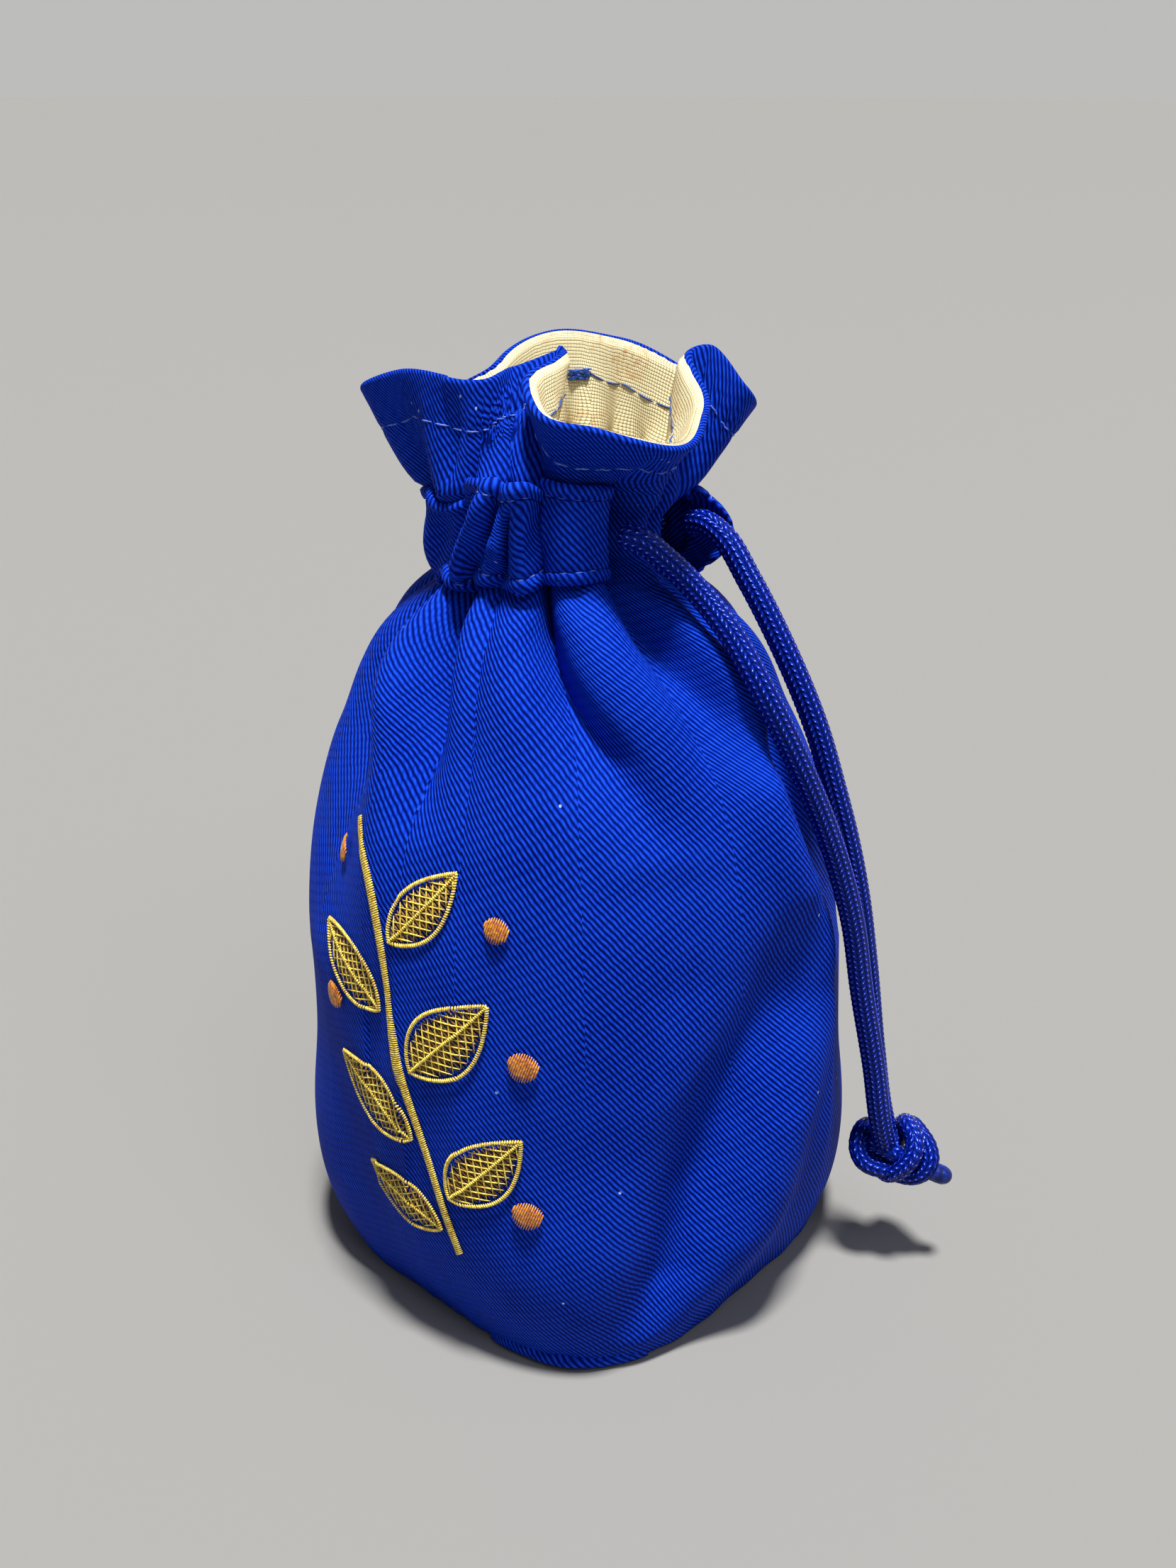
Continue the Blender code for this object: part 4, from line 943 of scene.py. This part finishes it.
def carried_frames(points):
    """Two directions across the line at each point, carried along it without twisting."""
    ahead = unit(np.gradient(points, axis=0))
    side = unit(np.cross(ahead[0], (0.0, 0.0, 1.0)))
    sides = []
    for direction in ahead:
        side = unit(side - direction * np.dot(side, direction))
        sides.append(side)
    sides = np.array(sides)
    return sides, np.cross(ahead, sides)


def braid_height(place, angle):
    """Relief of the braid from 0 to 1 at a distance along the cord and an angle round it."""
    column = angle * CORD_COLUMNS / (2 * np.pi)
    share = column - np.floor(column)
    lean = np.where(np.floor(column) % 2 == 0, 1.0, -1.0)
    yarn = np.abs(np.sin(np.pi * (place / BRAID_PITCH + lean * (share - 0.5) * 0.9)))
    return yarn**0.7 * np.sin(np.pi * share) ** 0.5


def braid_object(name, points, diameter, relief=BRAID_RELIEF, rounding=END_ROUNDING):
    """A braided cord along a line, closed at both ends, with its place along and round as UV."""
    sides, ups = carried_frames(points)
    run = run_along(points)
    angles = np.arange(BRAID_SIDES) * 2 * np.pi / BRAID_SIDES
    radius = diameter / 2 - relief + relief * braid_height(run[:, None], angles[None, :])
    near_end = 1.0 - np.clip(np.minimum(run, run[-1] - run) / (diameter * rounding), 0.0, 1.0)
    radius = radius * np.sqrt(np.clip(1.0 - near_end**2, 0.01, 1.0))[:, None]
    ring = sides[:, None] * np.cos(angles)[None, :, None] + ups[:, None] * np.sin(angles)[None, :, None]
    rows = points[:, None] + ring * radius[..., None]
    left = np.broadcast_to(angles, radius.shape) * diameter / 2
    right = left + np.pi * diameter / BRAID_SIDES
    made = cloth_object(name, rows, True, left, right, run)
    last = (len(points) - 1) * BRAID_SIDES
    caps = [list(range(BRAID_SIDES))[::-1], list(range(last, last + BRAID_SIDES))]
    mesh = made.data
    corners = [list(face.vertices) for face in mesh.polygons]
    flat = np.zeros(2 * len(mesh.loops), dtype=np.float32)
    mesh.uv_layers["cloth"].data.foreach_get("uv", flat)
    whole = bpy.data.meshes.new(name)
    whole.from_pydata(rows.reshape(-1, 3).tolist(), [], corners + caps)
    cap_places = np.zeros(4 * BRAID_SIDES, dtype=np.float32)
    whole.uv_layers.new(name="cloth").data.foreach_set("uv", np.concatenate([flat, cap_places]))
    whole.shade_smooth()
    made.data = whole
    bpy.data.meshes.remove(mesh)
    return made


def braid_material():
    """Braided nylon, dyed royal blue and glossy: painted highlights on each yarn's crown and painted
    near-black shade in the gaps between the yarns.
    """
    made, tree, shader = new_material("nylon_braid_blue", 0.25, 0.38, 0.0, "#a8bcff")
    shader.inputs["Specular Tint"].default_value = linear("#5c82ff")
    flat = add_node(tree, "UVMap", {}, uv_map="cloth")
    parts = add_node(tree, "SeparateXYZ", {"Vector": flat}).node
    column = add_node(tree, "Math", {0: parts.outputs["X"], 1: CORD_COLUMNS / (np.pi * CORD_DIAMETER)},
                      operation="MULTIPLY")
    share = add_node(tree, "Math", {0: column}, operation="FRACT")
    number = add_node(tree, "Math", {0: column}, operation="FLOOR")
    odd = add_node(tree, "Math", {0: number, 1: 2.0}, operation="FLOORED_MODULO")
    lean = add_node(tree, "MapRange", {"Value": odd, "To Min": 0.9, "To Max": -0.9})
    middle = add_node(tree, "Math", {0: share, 1: 0.5}, operation="SUBTRACT")
    slant = add_node(tree, "Math", {0: middle, 1: lean}, operation="MULTIPLY")
    place = add_node(tree, "Math", {0: parts.outputs["Y"], 1: BRAID_PITCH}, operation="DIVIDE")
    place = add_node(tree, "Math", {0: place, 1: slant}, operation="ADD")
    wave = add_node(tree, "Math", {0: place, 1: np.pi}, operation="MULTIPLY")
    wave = add_node(tree, "Math", {0: wave}, operation="SINE")
    wave = add_node(tree, "Math", {0: wave}, operation="ABSOLUTE")
    edge = add_node(tree, "Math", {0: share, 1: np.pi}, operation="MULTIPLY")
    edge = add_node(tree, "Math", {0: edge}, operation="SINE")
    crown = add_node(tree, "Math", {0: wave, 1: edge}, operation="MULTIPLY")
    # The ramp runs from painted shade in the gaps, through the cord's own royal blue, to a painted glint
    # on the very tops of the crowns
    ramp = add_node(tree, "ValToRGB", {"Fac": crown}).node
    ramp.color_ramp.elements[0].color = linear("#00063e")
    ramp.color_ramp.elements[1].color = linear("#dce6ff")
    ramp.color_ramp.elements.new(0.35).color = linear("#04167c")
    ramp.color_ramp.elements.new(0.86).color = linear("#0a29a4")
    ramp.color_ramp.elements.new(0.96).color = linear("#2248d0")
    tree.links.new(ramp.outputs["Color"], shader.inputs["Base Color"])
    bump = add_node(tree, "Bump", {"Height": crown, "Distance": 0.0002, "Strength": 0.6})
    tree.links.new(bump, shader.inputs["Normal"])
    return made


braid = braid_material()
ring_angles = np.linspace(*CASING_ARC, CASING_ARC_MARKS)
ring = around(ring_angles, CORD_RING_RADIUS + 0 * ring_angles, CORD_HEIGHT + 0 * ring_angles)
front_path = even_line(FRONT_STRAND, STRAND_STEP)
rear_path = even_line(REAR_STRAND, STRAND_STEP)
hidden_cord = braid_object("cord_in_casing", even_line(ring, HIDDEN_STEP), CORD_DIAMETER)
front_cord = braid_object("cord_front_strand", front_path, CORD_DIAMETER)
rear_cord = braid_object("cord_rear_strand", rear_path, CORD_DIAMETER)
for cord in (hidden_cord, front_cord, rear_cord):
    finish_piece(cord, braid, "drawcord")

# Knot: both ends tied together in one overhand knot, pulled tight. Two bights turn round its left end,
# two wraps cross over them in front, and the ends, cut and melted to one stub, come out at the right.

KNOT_CENTRE = np.array((0.0527, 0.0221, 0.0214))
KNOT_TURN = 38.0
KNOT_LEAN = 24.0
KNOT_CORD = 0.0035
KNOT_STEP = 0.0003
# Route of the cord through the knot in millimetres: right, up and towards the viewer
KNOT_ROUTE = np.array((
    (-6.1, 1.4, -0.8), (-4.4, 1.4, 1.2), (-2.3, 0.6, 2.0), (-0.4, -0.7, 1.4), (1.3, -2.7, -0.3),
    (0.8, -2.1, -2.8), (-0.1, 0.3, -3.9), (0.8, 2.8, -3.4), (1.4, 4.5, -1.4), (1.7, 3.9, 0.9),
    (2.2, 2.2, 2.4), (1.7, 0.0, 3.1), (0.2, -2.1, 2.7), (-1.5, -3.6, 1.1), (-2.4, -3.8, -1.2),
    (-3.2, -1.5, -3.2), (-4.1, 1.6, -3.4), (-4.7, 3.6, -2.2), (-6.0, 3.7, -0.6), (-7.0, 2.3, 0.5),
    (-7.2, 0.3, 1.1), (-6.3, -1.5, 1.4), (-4.4, -2.5, 1.4), (-2.3, -3.0, 0.7), (-0.1, -4.0, -0.3),
    (2.0, -4.3, 0.2), (3.9, -3.4, 1.1), (4.9, -1.5, 1.6), (4.7, 0.8, 1.1), (3.6, 2.8, 0.1),
    (2.3, 4.0, -1.8), (0.8, 2.8, -2.2), (-0.4, 1.3, -1.6), (-1.0, -0.4, -0.8),
))
TAIL_ROUTE = np.array(((3.9, -3.0, 0.4), (5.6, -3.4, 0.7), (7.1, -4.0, 0.7), (9.0, -4.5, 0.4)))
TAIL_DIAMETER = 0.0034
TAIL_RELIEF = 0.00005
TAIL_ROUNDING = 0.6
TAIL_STEP = 0.0002

turn, lean = np.radians(KNOT_TURN), np.radians(KNOT_LEAN)
knot_right = np.array((np.cos(turn), np.sin(turn), 0.0))
knot_near = np.array((np.sin(turn) * np.cos(lean), -np.cos(turn) * np.cos(lean), np.sin(lean)))
knot_axes = np.array((knot_right, np.cross(knot_near, knot_right), knot_near)) / 1000.0


def melted_material():
    """Nylon that has been melted over a flame: one glossy dark skin with small blisters."""
    made, tree, shader = new_material("nylon_melted_blue", 0.3, 0.3, 0.0, "#ffffff")
    place = add_node(tree, "TexCoord", {}).node.outputs["Object"]
    lumps = add_node(tree, "TexNoise", {"Vector": place, "Scale": 900.0, "Detail": 3.0})
    tone = add_node(tree, "MapRange", {"Value": lumps, "From Min": 0.35, "From Max": 0.75})
    mixed = add_node(tree, "Mix", {"Factor": tone, 6: linear("#01073a"), 7: linear("#0e2c90")},
                     data_type="RGBA").node
    tree.links.new(mixed.outputs[2], shader.inputs["Base Color"])
    bump = add_node(tree, "Bump", {"Height": lumps, "Distance": 0.0003, "Strength": 0.7})
    tree.links.new(bump, shader.inputs["Normal"])
    return made


knot_line = even_line(KNOT_CENTRE + KNOT_ROUTE @ knot_axes, KNOT_STEP)
knot = braid_object("cord_knot", knot_line, KNOT_CORD)
finish_piece(knot, braid, "drawcord_knot")
tail_line = even_line(KNOT_CENTRE + TAIL_ROUTE @ knot_axes, TAIL_STEP)
tail = braid_object("cord_melted_end", tail_line, TAIL_DIAMETER, TAIL_RELIEF, TAIL_ROUNDING)
finish_piece(tail, melted_material(), "drawcord_knot")

# Embroidery: a leafy sprig worked by machine in gold rayon, with net fillings over a brown underlay
# and padded orange berries. Each leaf, berry and the stem is one group of stitches on the twill.

STEM = ((14.0, 0.022), (9.0, 0.036), (3.0, 0.052), (0.0, 0.068), (-4.0, 0.082), (-10.0, 0.092))
STEM_WIDTH = 0.0016
LEAVES = {
    "leaf_1": ((11.0, 0.031), (28.0, 0.046), 0.0048), "leaf_2": ((7.0, 0.040), (-16.0, 0.050), 0.0050),
    "leaf_3": ((3.0, 0.052), (22.0, 0.068), 0.0052), "leaf_4": ((0.5, 0.061), (-22.0, 0.071), 0.0046),
    "leaf_5": ((-1.0, 0.073), (15.0, 0.087), 0.0040), "leaf_6": ((13.0, 0.025), (-10.0, 0.031), 0.0042),
}
BERRIES = {
    "berry_1": (29.0, 0.059, 0.0024), "berry_2": (-17.0, 0.060, 0.0022), "berry_3": (24.0, 0.080, 0.0020),
    "berry_4": (-20.0, 0.083, 0.0022), "berry_5": (29.0, 0.033, 0.0024),
}
TO_FLAT = np.array([np.radians(BELLY_RADIUS), 1.0])
GOLD_THREAD = 0.00034
SATIN_PITCH = 0.00036
SATIN_LEAN = 0.35
STEM_LIFT = 0.0003
STEM_MARKS = 60
LEAF_MARKS = 25
LEAF_STALK = 0.12
EDGE_HALF = 0.00034
EDGE_PITCH = 0.0004
EDGE_LIFT = 0.0004
NET_THREAD = 0.00026
NET_PITCH = 0.0016
NET_SLANT = 48.0
NET_LIFT = 0.0003
NET_FILL = 0.88
UNDERLAY_THREAD = 0.00044
UNDERLAY_PITCH = 0.00062
UNDERLAY_LIFT = 0.00008
BERRY_ALONG = np.array((0.35, 0.94))
BERRY_ACROSS = np.array((0.94, -0.35))
BERRY_LIFT = 0.0003
BERRY_PADDING = 0.0006


def cloth_place(points):
    """Place and outward direction on the twill's face, for points as metres round and metres up."""
    points = np.asarray(points, float)
    angles = pleat_angle(np.append(phases, PLEAT_COUNT), 0.0)
    wrapped = np.mod(np.degrees(points[..., 0] / BELLY_RADIUS) - angles[0], 360.0) + angles[0]
    column = np.interp(wrapped, angles, np.arange(len(phases) + 1))
    heights = np.linspace(FOOT_HEIGHT, SEAM_HEIGHT, BODY_ROWS, endpoint=False)
    row = np.interp(points[..., 1], heights, np.arange(BODY_ROWS))
    left, below = np.floor(column).astype(int), np.floor(row).astype(int)
    across, up = (column - left)[..., None], (row - below)[..., None]
    left, beside = left % len(phases), (left + 1) % len(phases)

    def between(grid):
        low = grid[below, left] * (1.0 - across) + grid[below, beside] * across
        high = grid[below + 1, left] * (1.0 - across) + grid[below + 1, beside] * across
        return low * (1.0 - up) + high * up

    return between(outer_face), between(outward)


def flat_thread(start, end, width, lift):
    """One stitch between two places on the flat cloth, lying on the twill."""
    share = np.linspace(0.0, 1.0, len(LOOSE_ARCH))[:, None]
    place, up = cloth_place(start * (1.0 - share) + end * share)
    rise = lift + width * 0.35 * LOOSE_ARCH
    return place + up * rise[:, None], up, width


def satin_line(line, half_width, pitch, lift, lean=SATIN_LEAN):
    """Slanting stitches side by side across a line, as along a stem or the edge of a leaf."""
    distance = run_along(line)
    stitches = []
    for place in np.arange(0.0, distance[-1], pitch):
        before, middle, after = points_at(place + np.array((-0.0004, 0.0, 0.0004)), distance, line)
        ahead = unit(after - before)
        side = np.array([ahead[1], -ahead[0]])
        reach = (side + ahead * lean) * half_width
        stitches.append(flat_thread(middle - reach, middle + reach, GOLD_THREAD, lift))
    return stitches


def leaf_outline(root, tip, half_width):
    """Both edges of a leaf and its middle, from its root to its tip."""
    share = np.linspace(0.0, 1.0, LEAF_MARKS)
    root, tip = np.array(root) * TO_FLAT, np.array(tip) * TO_FLAT
    middle = root + (tip - root) * (LEAF_STALK + (1.0 - LEAF_STALK) * share[:, None])
    ahead = unit(tip - root)
    side = np.array([ahead[1], -ahead[0]])
    width = half_width * np.sin(np.pi * share**0.85) ** 0.9
    return middle, middle + side * width[:, None], middle - side * width[:, None], width


def net_threads(middle, width, pitch, lean, thread, lift):
    """Parallel threads across a leaf, clipped to its outline, slanting by lean."""
    ahead = middle[-1] - middle[0]
    length = np.linalg.norm(ahead)
    ahead = ahead / length
    side = np.array([ahead[1], -ahead[0]])
    threads = []
    for offset in np.arange(-length * 0.6, length * 1.6, pitch):
        along = np.linspace(-1.0, 1.0, 61) * length
        x = offset + along * np.cos(np.radians(lean))
        y = along * np.sin(np.radians(lean))
        edge = np.interp(x, np.linspace(0.0, length, len(width)), width, left=0.0, right=0.0)
        inside = np.abs(y) < edge * NET_FILL
        if inside.sum() < 2:
            continue
        first, last = np.where(inside)[0][[0, -1]]
        ends = [middle[0] + ahead * x[k] + side * y[k] for k in (first, last)]
        threads.append(flat_thread(ends[0], ends[1], thread, lift))
    return threads


gold = thread_material("rayon_thread_gold", "#f4e468", "#c2992a", 0.34)
brown = thread_material("rayon_thread_brown", "#8a6420", "#4c3410", 0.5)
orange = thread_material("rayon_thread_orange", "#eda02c", "#a85a12", 0.36)


def sprig_piece(name, threads, thread, node):
    """One group of stitches, which stands for its CAD node."""
    made = thread_object("sprig_" + name, threads, thread)
    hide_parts("embroidery_" + node)


stem_places = np.linspace(0, len(STEM) - 1, STEM_MARKS)
stem_line = smooth(range(len(STEM)), np.array(STEM) * TO_FLAT, stem_places)
stem_threads = satin_line(stem_line, STEM_WIDTH / 2, SATIN_PITCH, STEM_LIFT)
sprig_piece("stem", stem_threads, gold, "stem")
for name, (root, tip, half_width) in LEAVES.items():
    middle, first_edge, second_edge, width = leaf_outline(root, tip, half_width)
    threads = satin_line(first_edge, EDGE_HALF, EDGE_PITCH, EDGE_LIFT)
    threads += satin_line(second_edge, EDGE_HALF, EDGE_PITCH, EDGE_LIFT, lean=-SATIN_LEAN)
    threads += satin_line(middle, EDGE_HALF * 0.8, EDGE_PITCH, EDGE_LIFT)
    for slant in (NET_SLANT, -NET_SLANT):
        threads += net_threads(middle, width, NET_PITCH, slant, NET_THREAD, NET_LIFT)
    sprig_piece(name, threads, gold, name)
    underlay = net_threads(middle, width, UNDERLAY_PITCH, 90.0, UNDERLAY_THREAD, UNDERLAY_LIFT)
    sprig_piece("underlay_" + name, underlay, brown, name)
for name, (angle, height, radius) in BERRIES.items():
    centre = np.array([angle, height]) * TO_FLAT
    threads = []
    for offset in np.arange(-radius * 0.95, radius, SATIN_PITCH):
        half = np.sqrt(max(radius**2 - offset**2, 1e-9))
        place = centre + BERRY_ACROSS * offset
        reach = BERRY_ALONG * half
        lift = BERRY_LIFT + BERRY_PADDING * half / radius
        threads.append(flat_thread(place - reach, place + reach, GOLD_THREAD, lift))
    sprig_piece(name, threads, orange, name)

# Studio: a plain pale floor that runs back to the horizon, one soft key lamp almost overhead, a weak
# fill in front on the right, and a camera where the photograph was taken from.

CAMERA_TURN = 38.0
CAMERA_PITCH = 24.0
CAMERA_DISTANCE = 0.237
CAMERA_HEIGHT = 0.190
FOCAL_SHARE = 2200 / 2212
CAMERA_SIDE = 0.001
SENSOR_WIDTH = 36.0
FLOOR_SIZE = 80.0
FLOOR_GAP = 0.0004
BAG_MIDDLE = np.array((0.0, 0.0, 0.08))
# Places of the lamps from the bag's middle: to the right, towards the camera, and up
KEY_PLACE = np.array((0.10, 0.34, 2.5))
KEY_POWER = 7.0
KEY_SOFTNESS = 8.0
FILL_PLACE = np.array((1.0, 1.5, 2.4))
FILL_POWER = 20.0
FILL_SIZE = 1.5
SKY_LIGHT = 0.24
SKY_SEEN = 0.74


def floor_material():
    """Matt pale paper sweep."""
    made, tree, shader = new_material("paper_sweep_pale", 0.9, 0.2, 0.0, "#ffffff")
    shader.inputs["Base Color"].default_value = linear("#7d7e80")
    return made


bpy.ops.object.select_all(action="DESELECT")
bpy.ops.mesh.primitive_plane_add(size=FLOOR_SIZE, location=(0.0, 0.0, -FLOOR_GAP))
floor = bpy.context.object
floor.name = "studio_floor"
floor.data.materials.append(floor_material())


def look_along(direction):
    """Rotation that turns an object's -Z along a direction with its Y up."""
    return Vector(direction).to_track_quat("-Z", "Y")


turn = np.radians(CAMERA_TURN)
right_way = np.array((np.cos(turn), np.sin(turn), 0.0))
toward = np.array((np.sin(turn), -np.cos(turn), 0.0))
up = np.array((0.0, 0.0, 1.0))
view_axes = np.array((right_way, toward, up))


def studio_lamp(name, kind, place, power, colour, **settings):
    """A lamp that points at the bag: SUN counts its power per square metre, AREA as a whole."""
    lamp = bpy.data.lights.new(name, kind)
    lamp.energy = power
    lamp.color = linear(colour)[:3]
    for setting, value in settings.items():
        setattr(lamp, setting, value)
    made = add_object(name, lamp)
    made.location = BAG_MIDDLE + place @ view_axes
    made.rotation_mode = "QUATERNION"
    made.rotation_quaternion = look_along(-(place @ view_axes))


studio_lamp("key_lamp", "SUN", KEY_PLACE, KEY_POWER, "#fffaf0", angle=np.radians(KEY_SOFTNESS))
studio_lamp("fill_lamp", "AREA", FILL_PLACE, FILL_POWER, "#f4f6ff", size=FILL_SIZE)

world = bpy.data.worlds.new("studio")
bpy.context.scene.world = world
world.use_nodes = True
background = world.node_tree.nodes["Background"]
background.inputs["Color"].default_value = linear("#d8d8d6")
# The backdrop looks as pale as the floor, and its light on the bag stays weak
rays = add_node(world.node_tree, "LightPath", {}).node.outputs
seen = rays["Is Camera Ray"]
for ray in ("Is Glossy Ray", "Is Transmission Ray"):
    seen = add_node(world.node_tree, "Math", {0: seen, 1: rays[ray]}, operation="MAXIMUM")
strength = add_node(world.node_tree, "MapRange", {"Value": seen, "To Min": SKY_LIGHT, "To Max": SKY_SEEN})
world.node_tree.links.new(strength, background.inputs["Strength"])

lens = bpy.data.cameras.new("photograph")
lens.sensor_width = SENSOR_WIDTH
lens.lens = SENSOR_WIDTH * FOCAL_SHARE
lens.clip_start = 0.01
camera = add_object("photograph", lens)
camera.location = right_way * CAMERA_SIDE + toward * CAMERA_DISTANCE + up * CAMERA_HEIGHT
pitch = np.radians(CAMERA_PITCH)
camera.rotation_mode = "QUATERNION"
camera.rotation_quaternion = look_along(-toward * np.cos(pitch) - up * np.sin(pitch))
bpy.context.scene.camera = camera
bpy.context.scene.view_settings.view_transform = "Standard"
